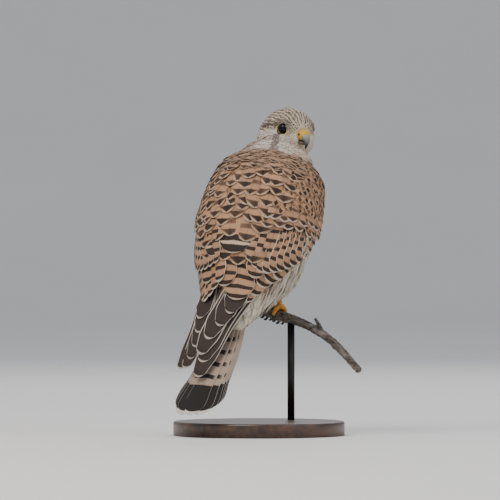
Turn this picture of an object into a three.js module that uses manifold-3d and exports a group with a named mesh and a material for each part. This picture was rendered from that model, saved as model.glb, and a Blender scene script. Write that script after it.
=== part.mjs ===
// A life-size common kestrel that looks back over its right shoulder,
// gripping a cut length of branch on a plain stand.
// Millimetres, +Z up. The bird faces -Y and its right side is -X.
// The origin is the middle of the base's underside.
import * as THREE from "three";
import { mergeVertices } from "three/addons/utils/BufferGeometryUtils.js";
import Module from "manifold-3d";

const wasm = await Module();
wasm.setup();

const { degToRad, lerp, clamp } = THREE.MathUtils;
const GAP = 0.3; // free space between neighbouring pieces

// Stand: a round base and one rod up to the branch.
const BASE = { radius: 72, height: 12, bevel: 2, sides: 36 };
const ROD = { radius: 3, x: -17.5, sides: 14 };

// Branch: it runs across the bird's feet and falls towards the bird's right.
const BRANCH = {
  route: [[42, -20, 116.5], [16, -22, 107], [-4, -22, 101], [-36, -24, 91], [-62, -23, 76], [-86, -20, 55]],
  radii: [4.6, 5, 4.7, 3.7, 3.5, 3.1],
  sides: 10,
  steps: 12,
};
const TWIG = {
  route: [[-46, -24, 84.5], [-45.5, -24.5, 90], [-40, -25, 98]],
  radii: [2.4, 1.8, 1.2],
  sides: 6,
  steps: 3,
};

// The spine, seen from the side: distance along it from the body's middle, then Y and Z.
const SPINE = [
  [-190, 96.4, 16.4],
  [-73, 31, 113],
  [0, 0, 180],
  [45, -21, 220],
  [75, -36, 246],
  [87, -39, 257.5],
];
// Half-width, back height and front height of the plumage along the spine, without the wings.
const TORSO = [
  [-100, 9, 5, 7],
  [-88, 16, 8, 13],
  [-73, 23, 16, 23],
  [-50, 34, 28, 39],
  [-25, 42, 37, 49],
  [0, 46, 42, 51],
  [25, 46, 41, 47],
  [45, 41, 35, 42],
  [58, 32.5, 26.5, 33],
  [66, 28.5, 23.5, 29],
  [73, 25, 21.5, 25],
];
const TORSO_END = 57; // the torso ends and the neck begins here
// The same for the outer face of the folded wings, which narrows towards the tail.
const WINGS = [
  [-190, 22, 8, 6],
  [-150, 24, 11, 8],
  [-120, 29, 15, 12],
  [-95, 33, 20, 18],
  [-73, 38, 27, 28],
  [-50, 46, 35.5, 42],
  [-25, 53.5, 41.5, 52],
  [0, 55, 45, 51.5],
  [25, 52, 43.5, 45.5],
  [45, 46, 37.5, 43],
  [60, 34, 27, 34],
  [70, 26, 22, 24],
];

// Places on the wings' face are pairs: distance along the spine, then degrees round it from the back,
// positive towards the bird's right. Each tier of feathers has a line of roots and a line of tips,
// from the innermost feather to the outermost. Lifts are heights over the wings' face at root and tip,
// and roll turns each feather so that its outer edge lies over the next one.
// The primaries run free of the body: each bends over a place in via and ends at a point in ends.
const RIGHT_WING = {
  side: 1,
  shoulder: { from: [50, 34], to: [-30, 118], inner: -4 },
  greater: {
    count: 7, width: 16, thick: 0.8, lift: [-2, 0], roll: 6,
    roots: [[-14, 30], [-14, 66], [-4, 110]], tips: [[-56, 30], [-54, 58], [-46, 76], [-28, 108]],
  },
  secondaries: {
    count: 7, width: 19, thick: 0.9, lift: [-5.8, -2.6], roll: 8,
    roots: [[-16, 36], [-16, 52], [-12, 72], [-6, 90]],
    tips: [[-74, -2], [-87, 16], [-79, 40], [-64, 62]],
  },
  primaries: {
    count: 7, width: 15, thick: 0.9, lift: [-9, -6], roll: 7,
    roots: [[-26, 58], [-18, 80], [-12, 98]], via: [[-60, 34], [-62, 46], [-62, 60]],
    ends: [
      [-3.5, 53.4, 103], [2.8, 59.2, 92.6], [10.9, 64.2, 81.7], [14.5, 70.3, 69],
      [10.8, 72.2, 62.7], [11, 79.1, 50.6], [9, 71, 64],
    ],
    endNormal: [-0.12, 0.82, 0.55],
  },
};
const LEFT_WING = {
  side: -1,
  shoulder: { from: [50, -34], to: [-30, -118], inner: -4 },
  greater: {
    count: 7, width: 16, thick: 0.8, lift: [-2, 1.5], roll: 6,
    roots: [[-14, -30], [-14, -66], [-4, -110]], tips: [[-56, -30], [-54, -58], [-46, -76], [-28, -108]],
  },
  secondaries: {
    count: 7, width: 17, thick: 0.9, lift: [-5.8, 1], roll: 8,
    roots: [[-16, -36], [-16, -52], [-12, -72], [-6, -90]],
    tips: [[-72, -6], [-87, -26], [-82, -46], [-68, -66]],
  },
  primaries: {
    count: 7, width: 14, thick: 0.9, lift: [-9, -6], roll: 7,
    roots: [[-26, -58], [-18, -80], [-12, -98]], via: [[-62, -32], [-62, -50], [-60, -72]],
    ends: [
      [15, 49, 101], [19, 55, 89], [22.5, 62, 77], [25.5, 68, 65.5],
      [27.5, 71.2, 58], [32, 72, 56.8], [31.5, 66, 66.5],
    ],
    endNormal: [0.05, 0.82, 0.56],
  },
};

// Tail: six pairs of long feathers, the middle pair on top.
const TAIL = {
  pairs: 6, width: 16, thick: 0.8, step: 0.55, roll: 7, rootD: -84, tipD: -190, shorten: 14,
  rootSpread: 1.1, tipSpread: 2.75, lean: 10,
};

// Head, in its own frame: x forwards along the bill, y to its left, z up.
const HEAD = { centre: [-5.9, -40, 255.5], turn: 112, nod: 13 };
// Along x: half-width, top and bottom of the head.
const SKULL = [
  [-29.5, 3, -5, -15],
  [-27.4, 11, 1.5, -19],
  [-20.5, 18.5, 12, -21.5],
  [-10, 21.6, 18.8, -22],
  [-2, 22.3, 20.3, -22],
  [5, 21.8, 20.1, -21],
  [10.5, 20.2, 17.6, -19.5],
  [15, 16.8, 12.6, -16.5],
  [18, 11.4, 6.6, -12],
  [19.3, 5, 3, -7],
];
const CHEEK = 0.17; // how much narrower the head is at the crown than at the cheeks
const EYE = { centre: [8.5, 13.5, 3.9], radius: 5.4, axis: [0.52, 0.853, 0.04], opening: 4.3, rim: 0.8 };
const BROW = { centre: [7.5, 14, 9.4], size: [7.5, 2.3, 1.6] };
// Bill pieces in slices: x and z of the slice's top, x and z of its bottom, half-width.
const CERE = [[16.5, 6, 16.2, -3.3, 5.2], [19.5, 6.2, 18.8, -3.1, 5.4], [22.2, 5.2, 20.9, -2.9, 4.8]];
const UPPER_BILL = [
  [22.5, 4.9, 21.2, -2.9, 4.5], [24.6, 3.5, 22.3, -3, 4], [26.4, 1, 23.3, -3.3, 3.3],
  [27.5, -2.3, 24.1, -4.1, 2.4], [27, -5.7, 24.4, -6.4, 1.5], [25.2, -9.5, 24.7, -9.6, 0.4],
];
const LOWER_BILL = [
  [14.5, -3.5, 14.5, -6.4, 4.6], [19.5, -3.4, 19.3, -6.6, 4.1],
  [22.4, -3.7, 22.1, -6.5, 3.1], [23.8, -4.9, 23.5, -6.2, 1.8],
];
const NOSTRIL = { centre: [20.2, 4.9, 2], radius: 0.9 };

// Neck: from the torso up to here along the spine.
const NECK_TOP = 65;

// Legs. The thighs wear loose feathers that hide most of the tarsus.
const LEG = { x: 6, middle: 1.2, toeSides: 6, toeSteps: 6 };
const THIGH = {
  route: [[17, -12, 146], [12, -16, 132], [7, -20.5, 118]],
  radii: [17, 13.5, 5],
  sides: 12,
  steps: 5,
};
const TARSUS = { top: [7, -19, 123], radius: 2.4, sides: 8 };
// Each toe: how far round the branch it reaches in degrees from the top,
// its sideways drift and its thickness.
const TOES = [
  { reach: 155, drift: -4.1, radius: 1.8 },
  { reach: 165, drift: 0, radius: 1.9 },
  { reach: 150, drift: 4.1, radius: 1.7 },
  { reach: -110, drift: 0, radius: 1.9 },
];
const CLAW = { radius: 1.25, bend: 62, sides: 6, steps: 4 };

const COLOURS = {
  mantle: 0xa88566, covert: 0xa67c5c, flight: 0x4a4039, tail: 0x9c8673, crown: 0xb4a08c, belly: 0xd2c3a8,
  bill: 0x6d7478, cere: 0xd9b53c, eye: 0x120d0a, skin: 0xd0902c, claw: 0x14110f,
  bark: 0x5f544b, base: 0x2b2622, rod: 0x3a3835,
};

// Smooth curve through rows of [position, ...values], read at any position between the first and the last.
function readTable(rows, at) {
  const x = clamp(at, rows[0][0], rows.at(-1)[0]);
  const i = clamp(rows.findLastIndex((row) => row[0] <= x), 0, rows.length - 2);
  const span = (j) => rows[j + 1][0] - rows[j][0];
  const rise = (j, k) => (rows[j + 1][k] - rows[j][k]) / span(j);
  const slope = (j, k) => {
    if (j === 0) return rise(0, k);
    if (j === rows.length - 1) return rise(j - 1, k);
    return (rise(j - 1, k) * span(j) + rise(j, k) * span(j - 1)) / (span(j) + span(j - 1));
  };
  const h = span(i);
  const t = (x - rows[i][0]) / h;
  return rows[i].slice(1).map((value, n) => {
    const k = n + 1;
    const ends = (2 * t ** 3 - 3 * t ** 2 + 1) * value + (3 * t ** 2 - 2 * t ** 3) * rows[i + 1][k];
    return ends + (t ** 3 - 2 * t ** 2 + t) * h * slope(i, k) + (t ** 3 - t ** 2) * h * slope(i + 1, k);
  });
}

// A point part of the way along a list of places, all evenly spaced.
function along(places, share) {
  return readTable(places.map((place, i) => [i / (places.length - 1), ...place]), share);
}

function spineFrame(d) {
  const [y, z] = readTable(SPINE, d);
  const [y0, z0] = readTable(SPINE, d - 1);
  const [y1, z1] = readTable(SPINE, d + 1);
  const up = new THREE.Vector3(0, y1 - y0, z1 - z0).normalize();
  return { middle: new THREE.Vector3(0, y, z), up, back: new THREE.Vector3(0, up.z, -up.y) };
}

// A point on a body form: d along the spine, degrees round from the back, height over the surface.
function formPoint(form, d, degrees, lift = 0, share = 1) {
  const [side, back, front] = readTable(form, d);
  const { middle, back: out } = spineFrame(d);
  const a = degToRad(degrees);
  const height = (Math.cos(a) > 0 ? back : front) + lift;
  return middle.clone()
    .addScaledVector(out, share * height * Math.cos(a))
    .add(new THREE.Vector3(-share * (side + lift) * Math.sin(a), 0, 0));
}

function formNormal(form, d, degrees) {
  const alongSpine = formPoint(form, d + 1, degrees).sub(formPoint(form, d - 1, degrees));
  const around = formPoint(form, d, degrees + 2).sub(formPoint(form, d, degrees - 2));
  const normal = alongSpine.cross(around).normalize();
  const outward = formPoint(form, d, degrees).sub(spineFrame(d).middle);
  return normal.dot(outward) < 0 ? normal.negate() : normal;
}

// A closed solid from points and triangles, turned to face outwards.
function solidFrom(points, triangles) {
  const vertProperties = new Float32Array(points.flatMap((p) => [p.x, p.y, p.z]));
  const make = (faces) => {
    const triVerts = new Uint32Array(faces.flat());
    return new wasm.Manifold(new wasm.Mesh({ numProp: 3, vertProperties, triVerts }));
  };
  const made = make(triangles);
  return made.volume() >= 0 ? made : make(triangles.map(([a, b, c]) => [a, c, b]));
}

// A three.js geometry as a solid, with each of its points moved by place.
function deform(geometry, place) {
  geometry.deleteAttribute("normal");
  geometry.deleteAttribute("uv");
  const merged = mergeVertices(geometry, 1e-4);
  const position = merged.attributes.position;
  const corner = (i) => new THREE.Vector3().fromBufferAttribute(position, i);
  const points = Array.from({ length: position.count }, (_, i) => place(corner(i)));
  const index = Array.from(merged.index.array);
  const triangles = Array.from({ length: index.length / 3 }, (_, i) => index.slice(3 * i, 3 * i + 3));
  return solidFrom(points, triangles);
}

// A closed round bar whose section at each share of its length is given by place(share, angle, radiusShare).
function bar(sides, steps, place) {
  return deform(new THREE.CylinderGeometry(1, 1, 1, sides, steps), (p) => {
    const radius = Math.hypot(p.x, p.z);
    return place(p.y + 0.5, radius > 0.5 ? Math.atan2(p.z, p.x) : 0, radius > 0.5 ? 1 : 0);
  });
}

// A bar of changing radius along a smooth route.
function tube({ route, radii, sides, steps = route.length * 2 }, grow = 0, bump = () => 0) {
  const curve = new THREE.CatmullRomCurve3(route.map((p) => new THREE.Vector3(...p)));
  const radiusAt = radii.map((r, i) => [i / (radii.length - 1), r]);
  return bar(sides, steps, (share, angle, rim) => {
    const t = clamp(share, 0, 1);
    const tangent = curve.getTangent(t);
    const guide = Math.abs(tangent.z) > 0.8 ? new THREE.Vector3(0, 1, 0) : new THREE.Vector3(0, 0, 1);
    const across = new THREE.Vector3().crossVectors(guide, tangent).normalize();
    const over = new THREE.Vector3().crossVectors(tangent, across);
    const radius = rim * (readTable(radiusAt, t)[0] + grow + bump(t, angle));
    const end = t === 0 ? -grow : t === 1 ? grow : 0;
    return curve.getPoint(t)
      .addScaledVector(across, radius * Math.cos(angle))
      .addScaledVector(over, radius * Math.sin(angle))
      .addScaledVector(tangent, end);
  });
}

function union(solids) {
  return solids.slice(1).reduce((whole, next) => whole.add(next), solids[0]);
}

// Cuts neighbours away and keeps the largest piece.
function trimmed(solid, ...neighbours) {
  const cut = neighbours.reduce((rest, next) => rest.subtract(next), solid);
  return cut.decompose().reduce((best, next) => (next.volume() > best.volume() ? next : best));
}

// One feather as a thin curved plate. centreAt gives its middle line and outward normal
// at each share of its length.
const VANE_ROWS = [[0, 0.7], [0.45, 1], [0.86, 0.88], [1, 0.4]];
function vane({ width, thick, centreAt, roll = 0, hollow = 45 }, grow = 0) {
  const columns = [-1, 0, 1];
  const layer = (side) => VANE_ROWS.flatMap(([s, wide], i) => {
    const here = centreAt(s);
    const ahead = centreAt(s + 0.02).point.sub(centreAt(s - 0.02).point).normalize();
    const normal = here.normal.applyAxisAngle(ahead, degToRad(roll));
    const across = new THREE.Vector3().crossVectors(normal, ahead).normalize();
    const up = new THREE.Vector3().crossVectors(ahead, across);
    const half = (width / 2) * wide + grow;
    const depth = (thick / 2) * lerp(1, 0.65, s) + grow;
    const end = i === 0 ? -grow : i === VANE_ROWS.length - 1 ? grow : 0;
    return columns.map((c) => here.point.clone()
      .addScaledVector(across, c * half)
      .addScaledVector(up, side * depth - (c * half) ** 2 / (2 * hollow))
      .addScaledVector(ahead, end));
  });
  const n = columns.length;
  const rows = VANE_ROWS.length - 1;
  const top = (i, j) => i * n + j;
  const under = (i, j) => (rows + 1) * n + i * n + j;
  const triangles = [];
  const quad = (a, b, c, d) => triangles.push([a, b, c], [a, c, d]);
  for (let i = 0; i < rows; i++) {
    for (let j = 0; j < n - 1; j++) {
      quad(top(i, j), top(i + 1, j), top(i + 1, j + 1), top(i, j + 1));
      triangles.push([under(i, j), under(i + 1, j + 1), under(i + 1, j)]);
      triangles.push([under(i, j), under(i, j + 1), under(i + 1, j + 1)]);
    }
    quad(top(i, 0), under(i, 0), under(i + 1, 0), top(i + 1, 0));
    quad(top(i + 1, n - 1), under(i + 1, n - 1), under(i, n - 1), top(i, n - 1));
  }
  for (let j = 0; j < n - 1; j++) {
    quad(top(0, j + 1), under(0, j + 1), under(0, j), top(0, j));
    quad(top(rows, j), under(rows, j), under(rows, j + 1), top(rows, j + 1));
  }
  return solidFrom([...layer(1), ...layer(-1)], triangles);
}

// The middle line of a feather that lies on the wings' face.
function lineOnFace(root, tip, lift) {
  return (s) => {
    const [d, degrees] = root.map((value, k) => lerp(value, tip[k], s));
    const point = formPoint(WINGS, d, degrees, lerp(lift[0], lift[1], s));
    return { point, normal: formNormal(WINGS, d, degrees) };
  };
}

// The middle line of a long feather that leaves the wings' face and ends free.
function lineToEnd(root, via, end, endNormal, lift) {
  const start = formPoint(WINGS, ...root, lift[0]);
  const bend = formPoint(WINGS, ...via, lift[1]);
  const curve = new THREE.QuadraticBezierCurve3(start, bend, end);
  const rootNormal = formNormal(WINGS, ...root);
  const viaNormal = formNormal(WINGS, ...via);
  return (s) => {
    const early = rootNormal.clone().lerp(viaNormal, s / 0.3);
    const normal = s < 0.3 ? early : viaNormal.clone().lerp(endNormal, (s - 0.3) / 0.7);
    return { point: curve.getPoint(s), normal: normal.normalize() };
  };
}

// The feathers of one tier, from their lines of roots and tips.
function tierVanes(tier, side, grow = 0) {
  return Array.from({ length: tier.count }, (_, i) => {
    const share = i / (tier.count - 1);
    const root = along(tier.roots, share);
    const free = () => {
      const [end, endNormal] = [tier.ends[i], tier.endNormal].map((v) => new THREE.Vector3(...v));
      return lineToEnd(root, along(tier.via, share), end, endNormal, tier.lift);
    };
    const centreAt = tier.ends ? free() : lineOnFace(root, along(tier.tips, share), tier.lift);
    return vane({ width: tier.width, thick: tier.thick, centreAt, roll: side * tier.roll }, grow);
  });
}

// A curved slab on the wings' face between two places and two lifts.
function slab([d0, a0], [d1, a1], low, high, grow = 0) {
  const geometry = new THREE.BoxGeometry(1, 1, 1, 5, 6, 1);
  const turn = Math.sign(a1 - a0);
  return deform(geometry, (p) => {
    const s = clamp(p.y + 0.5, 0, 1);
    const q = clamp(p.x + 0.5, 0, 1);
    const d = lerp(d0 + grow, d1 - grow, s);
    const degrees = lerp(a0 - turn * grow, a1 + turn * grow, q);
    const edge = Math.min(1, 4 * Math.min(s + 0.08, q + 0.08, 1.08 - q));
    return formPoint(WINGS, d, degrees, p.z > 0 ? lerp(low + 1, high, edge) + grow : low - grow);
  });
}

// A stretch of the body between two places on the spine.
function bodySolid(from, to, sides, steps, grow = 0) {
  return bar(sides, steps, (share, angle, rim) => {
    const d = lerp(from - grow, to + grow, clamp(share, 0, 1));
    return formPoint(TORSO, d, THREE.MathUtils.radToDeg(angle) + 90, grow * rim, rim);
  });
}
const torsoSolid = (grow = 0) => bodySolid(TORSO[0][0], TORSO_END, 20, 14, grow);
const neckSolid = (grow = 0) => bodySolid(TORSO_END + GAP, NECK_TOP, 20, 2, grow);

// The shoulder of a folded wing, which its coverts grow from.
function shoulderSolid({ shoulder: { from, to, inner } }, grow = 0) {
  return slab(from, to, inner, 0, grow);
}

function covertsSolid(wing) {
  return union([shoulderSolid(wing), ...tierVanes(wing.greater, wing.side)]);
}

// The block under the shoulder that a tier of long feathers grows from.
function tierRoot(tier, grow = 0) {
  const first = tier.roots[0];
  const last = tier.roots.at(-1);
  const turn = Math.sign(last[1] - first[1]);
  const from = [Math.max(first[0], last[0]) + 4, first[1] - 6 * turn];
  const to = [first[0] - 10, last[1] + 4 * turn];
  return slab(from, to, tier.lift[0] - 1.4, tier.lift[0] + 1.4, grow);
}

function longTierSolid(tier, side, grow = 0) {
  return union([tierRoot(tier, grow), ...tierVanes(tier, side, grow)]);
}

// Puts a point of the head's own frame into the part's frame.
const headMatrix = new THREE.Matrix4().makeTranslation(...HEAD.centre)
  .multiply(new THREE.Matrix4().makeRotationZ(degToRad(-90 - HEAD.turn)))
  .multiply(new THREE.Matrix4().makeRotationY(degToRad(HEAD.nod)));
const fromHead = (x, y, z) => new THREE.Vector3(x, y, z).applyMatrix4(headMatrix);

function ellipsoid([x, y, z], [a, b, c], sides = 14, rings = 9) {
  const ball = new THREE.SphereGeometry(1, sides, rings);
  return deform(ball, (p) => fromHead(x + a * p.x, y + b * p.y, z + c * p.z));
}

function skullSolid() {
  const first = SKULL[0][0];
  const last = SKULL.at(-1)[0];
  return bar(16, 10, (share, angle, rim) => {
    const x = lerp(first, last, clamp(share, 0, 1));
    const [half, top, bottom] = readTable(SKULL, x);
    const middle = (top + bottom) / 2;
    const squared = (v) => Math.sign(v) * Math.abs(v) ** 0.92;
    const width = half * (1 - CHEEK * (Math.sin(angle) + 0.35));
    const y = rim * width * squared(Math.cos(angle));
    const z = middle + rim * ((top - bottom) / 2) * squared(Math.sin(angle));
    return fromHead(x, y, z);
  });
}

function eyeSolid(side, grow = 0) {
  const [x, y, z] = EYE.centre;
  const r = EYE.radius + grow;
  return ellipsoid([x, side * y, z], [r, r, r], 12, 8);
}

// The bare ring of skin round the eye, with its upper and lower lid.
function lidSolid(side) {
  const [x, y, z] = EYE.centre;
  const axis = new THREE.Vector3(EYE.axis[0], side * EYE.axis[1], EYE.axis[2]).normalize();
  const turn = new THREE.Quaternion().setFromUnitVectors(new THREE.Vector3(0, 0, 1), axis);
  const out = Math.sqrt(EYE.radius ** 2 - EYE.opening ** 2) + 0.35;
  return deform(new THREE.TorusGeometry(EYE.opening + 0.35, EYE.rim, 4, 14), (p) => {
    const q = p.clone().applyQuaternion(turn).addScaledVector(axis, out);
    return fromHead(x + q.x, side * y + q.y, z + q.z);
  });
}

// The opening in the head in front of an eye.
function socketSolid(side) {
  const [x, y, z] = EYE.centre;
  const [ax, ay, az] = EYE.axis.map((v) => v * 4.6);
  return ellipsoid([x + ax, side * (y + ay), z + az], [5, 5, 5], 12, 7);
}

function headSolid() {
  const [x, y, z] = BROW.centre;
  return [1, -1].reduce((head, side) => {
    const brow = ellipsoid([x, side * y, z], BROW.size, 8, 5);
    return head.add(brow).subtract(socketSolid(side)).add(lidSolid(side));
  }, skullSolid());
}

// A bill piece from its slices, round above and squarer below.
function billSolid(slices, grow = 0) {
  const rows = slices.map((row, i) => [i / (slices.length - 1), ...row]);
  return bar(10, (slices.length - 1) * 2, (share, angle, rim) => {
    const s = clamp(share, 0, 1);
    const [topX, topZ, bottomX, bottomZ, half] = readTable(rows, s);
    const reach = 1 + (2 * grow) / Math.hypot(topX - bottomX, topZ - bottomZ);
    const rise = 0.5 + 0.5 * rim * reach * Math.sin(angle);
    const cos = Math.cos(angle);
    const y = Math.sign(cos) * Math.abs(cos) ** (Math.sin(angle) < 0 ? 0.6 : 1);
    const end = s === 0 ? -grow : s === 1 ? grow : 0;
    return fromHead(lerp(bottomX, topX, rise) + end, rim * (half + grow) * y, lerp(bottomZ, topZ, rise));
  });
}

function nostrilHole(side) {
  const [x, y, z] = NOSTRIL.centre;
  return ellipsoid([x, side * y, z], [NOSTRIL.radius, 1.6, NOSTRIL.radius], 10, 6);
}

function tailVanes(grow = 0) {
  const one = (i, side) => {
    const place = side * (i + 0.5);
    const tipD = TAIL.tipD + TAIL.shorten * (i / (TAIL.pairs - 1)) ** 2;
    const centreAt = (s) => {
      const d = lerp(TAIL.rootD, tipD, s);
      const { middle, back } = spineFrame(d);
      const height = -TAIL.step * i - (side > 0 ? 0.8 : 0);
      const sideways = place * lerp(TAIL.rootSpread, TAIL.tipSpread, s) + TAIL.lean * s;
      const point = middle.addScaledVector(back, height).add(new THREE.Vector3(sideways, 0, 0));
      return { point, normal: back };
    };
    const { width, thick, roll } = TAIL;
    return vane({ width, thick, centreAt, roll: -side * roll, hollow: 60 }, grow);
  };
  return Array.from({ length: TAIL.pairs }, (_, i) => [one(i, 1), one(i, -1)]).flat();
}

// The fleshy end of the body that the tail feathers grow from.
function rumpSolid(grow = 0) {
  return bar(12, 2, (share, angle, rim) => {
    const d = lerp(TAIL.rootD + 6, TAIL.rootD - 20, clamp(share, 0, 1));
    const { middle, back } = spineFrame(d);
    return middle
      .addScaledVector(back, -1.8 + rim * (3 + grow) * Math.sin(angle))
      .add(new THREE.Vector3(rim * (13 + grow) * Math.cos(angle), 0, 0));
  });
}

function thighSolid(side, grow = 0) {
  return tube({ ...THIGH, route: THIGH.route.map(([x, y, z]) => [side * x, y, z]) }, grow);
}

// The branch's middle line and radius where a foot grips it.
function gripAt(x) {
  const curve = new THREE.CatmullRomCurve3(BRANCH.route.map((p) => new THREE.Vector3(...p)));
  const samples = curve.getPoints(200);
  const i = samples.findIndex((p) => p.x <= x);
  const t = i / 200;
  const radius = readTable(BRANCH.radii.map((r, k) => [k / (BRANCH.radii.length - 1), r]), t)[0];
  return { middle: samples[i], axis: curve.getTangent(t), radius };
}

function footFrame(side) {
  const { middle, axis, radius } = gripAt(LEG.middle + side * LEG.x);
  const forwards = new THREE.Vector3(0, -1, 0).addScaledVector(axis, axis.y).normalize();
  const up = new THREE.Vector3().crossVectors(axis, forwards).normalize();
  if (up.z < 0) up.negate();
  return { middle, axis, radius, forwards, up };
}

// A point round the branch: degrees from its top towards the front, sideways shift,
// distance from its surface.
function roundBranch(frame, degrees, sideways, height) {
  const a = degToRad(degrees);
  return frame.middle.clone()
    .addScaledVector(frame.axis, sideways)
    .addScaledVector(frame.forwards, (frame.radius + height) * Math.sin(a))
    .addScaledVector(frame.up, (frame.radius + height) * Math.cos(a));
}

function toeRoute(side, toe) {
  const frame = footFrame(side);
  return Array.from({ length: 7 }, (_, i) => {
    const s = i / 6;
    const arch = toe.radius + GAP + 0.5 + 0.5 * Math.sin(Math.PI * s * 2) ** 2;
    return roundBranch(frame, toe.reach * s * 0.8, toe.drift * Math.sqrt(s), arch);
  });
}

function toeSolid(side, toe, grow = 0) {
  const route = toeRoute(side, toe).map((p) => p.toArray());
  const radii = [1, 1.05, 0.95, 0.72].map((share) => toe.radius * share);
  return tube({ route, radii, sides: LEG.toeSides, steps: LEG.toeSteps }, grow);
}

function footSolid(side, grow = 0) {
  const frame = footFrame(side);
  const pad = roundBranch(frame, 0, 0, 3.2);
  const palm = deform(new THREE.SphereGeometry(1, 10, 6), (p) => pad.clone().add(
    new THREE.Vector3(p.x * (4 + grow), p.y * (4.2 + grow), p.z * (2.5 + grow)),
  ));
  return union([palm, ...TOES.map((toe) => toeSolid(side, toe, grow))]);
}

function tarsusSolid(side, grow = 0) {
  const foot = roundBranch(footFrame(side), 0, 0, 3);
  const [x, y, z] = TARSUS.top;
  const route = [[side * x, y, z], [foot.x, foot.y + 1, foot.z + 5], [foot.x, foot.y, foot.z]];
  const radii = [1, 0.9, 1.15].map((share) => TARSUS.radius * share);
  return tube({ route, radii, sides: TARSUS.sides, steps: 4 }, grow);
}

function clawSolid(side, toe) {
  const frame = footFrame(side);
  const sign = Math.sign(toe.reach);
  const start = toe.reach * 0.8;
  const route = Array.from({ length: 5 }, (_, i) => {
    const s = i / 4;
    const degrees = start + sign * (3 + CLAW.bend * s);
    const height = toe.radius + GAP + 0.35 - 0.9 * s + 1.1 * Math.sin(Math.PI * s);
    return roundBranch(frame, degrees, toe.drift * (1 + 0.04 * s), height).toArray();
  });
  const radii = [1, 0.75, 0.22].map((share) => CLAW.radius * share);
  return tube({ route, radii, sides: CLAW.sides, steps: CLAW.steps });
}

// Bark: shallow ridges along the branch.
const bark = (t, angle) => 0.35 * Math.sin(3 * angle + 9 * t) + 0.25 * Math.sin(5 * angle - 23 * t) - 0.2;

function branchSolid(grow = 0) {
  return union([tube(BRANCH, grow, bark), tube(TWIG, grow)]);
}

function baseGeometry() {
  const { radius, height, bevel, sides } = BASE;
  const profile = [[0, 0], [radius, 0], [radius, height - bevel], [radius - bevel, height], [0, height]];
  const lathe = new THREE.LatheGeometry(profile.map(([x, y]) => new THREE.Vector2(x, y)), sides);
  return deform(lathe, (p) => new THREE.Vector3(p.x, -p.z, p.y));
}

function rodSolid() {
  const { middle } = gripAt(ROD.x);
  const bottom = BASE.height + GAP;
  const height = middle.z - bottom;
  const rod = new THREE.CylinderGeometry(ROD.radius, ROD.radius, height, ROD.sides);
  const lift = bottom + height / 2;
  return deform(rod, (p) => new THREE.Vector3(p.x + ROD.x, middle.y - p.z, p.y + lift));
}

// The part: every piece as a named mesh.
const part = new THREE.Group();
function addPiece(name, solid, colour, roughness = 0.8) {
  const mesh = solid.getMesh();
  const positions = new Float32Array(mesh.numVert * 3);
  for (let i = 0; i < mesh.numVert; i++) {
    const start = i * mesh.numProp;
    positions.set(mesh.vertProperties.subarray(start, start + 3), i * 3);
  }
  const geometry = new THREE.BufferGeometry()
    .setAttribute("position", new THREE.BufferAttribute(positions, 3))
    .setIndex(new THREE.BufferAttribute(mesh.triVerts, 1));
  geometry.computeVertexNormals();
  const finish = new THREE.MeshStandardMaterial({ color: colour, roughness, metalness: 0 });
  const piece = new THREE.Mesh(geometry, finish);
  piece.name = name;
  part.add(piece);
}

const torsoCut = torsoSolid(GAP);
const neckCut = neckSolid(GAP);
addPiece("torso", torsoSolid(), COLOURS.mantle);
addPiece("neck", neckSolid(), COLOURS.crown);

const eyeCuts = [1, -1].map((side) => eyeSolid(side, GAP));
const cereCut = billSolid(CERE, GAP);
const lowerCut = billSolid(LOWER_BILL, GAP);
const billCuts = [cereCut, lowerCut, billSolid(UPPER_BILL, GAP)];
addPiece("head", trimmed(headSolid(), ...eyeCuts, ...billCuts, neckCut), COLOURS.crown);
addPiece("cere", trimmed(billSolid(CERE), nostrilHole(1), nostrilHole(-1), lowerCut), COLOURS.cere, 0.5);
addPiece("bill_upper", trimmed(billSolid(UPPER_BILL), cereCut, lowerCut), COLOURS.bill, 0.35);
addPiece("bill_lower", billSolid(LOWER_BILL), COLOURS.bill, 0.35);

for (const [name, wing] of [["right", RIGHT_WING], ["left", LEFT_WING]]) {
  const side = -wing.side;
  const shoulder = shoulderSolid(wing, GAP);
  const coverts = union([shoulder, ...tierVanes(wing.greater, wing.side, GAP)]);
  const secondaries = longTierSolid(wing.secondaries, wing.side, GAP);
  const inner = longTierSolid(wing.secondaries, wing.side);
  const outer = longTierSolid(wing.primaries, wing.side);
  const footCut = footSolid(side, GAP);
  addPiece("eye_" + name, eyeSolid(side), COLOURS.eye, 0.1);
  addPiece("wing_" + name + "_coverts", trimmed(covertsSolid(wing), torsoCut, neckCut), COLOURS.covert);
  addPiece("wing_" + name + "_secondaries", trimmed(inner, torsoCut, coverts), COLOURS.covert);
  addPiece("wing_" + name + "_primaries", trimmed(outer, torsoCut, shoulder, secondaries), COLOURS.flight);
  addPiece("thigh_" + name, trimmed(thighSolid(side), torsoCut), COLOURS.belly);
  addPiece("tarsus_" + name, trimmed(tarsusSolid(side), thighSolid(side, GAP), footCut), COLOURS.skin, 0.55);
  addPiece("foot_" + name, footSolid(side), COLOURS.skin, 0.55);
  TOES.forEach((toe, i) => addPiece("claw_" + name + "_" + (i + 1), clawSolid(side, toe), COLOURS.claw, 0.3));
}

const wingCuts = [RIGHT_WING, LEFT_WING].map((wing) => union(tierVanes(wing.primaries, wing.side, GAP)));
addPiece("tail", trimmed(union([rumpSolid(), ...tailVanes()]), torsoCut, ...wingCuts), COLOURS.tail);
addPiece("perch_branch", branchSolid(), COLOURS.bark, 0.9);
addPiece("stand_rod", trimmed(rodSolid(), branchSolid(GAP)), COLOURS.rod, 0.4);
addPiece("stand_base", baseGeometry(), COLOURS.base, 0.45);

export default part;
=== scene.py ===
"""A life-size female kestrel seen from behind, looking back over its right shoulder.

The bird grips a cut length of branch that a rod holds over a round wooden base. Its skin is one
smooth body, and every feather is a thin closed vane that lies along the body as the real ones do.
Lengths in the tables are millimetres, and the meshes are written in metres.
"""

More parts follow.
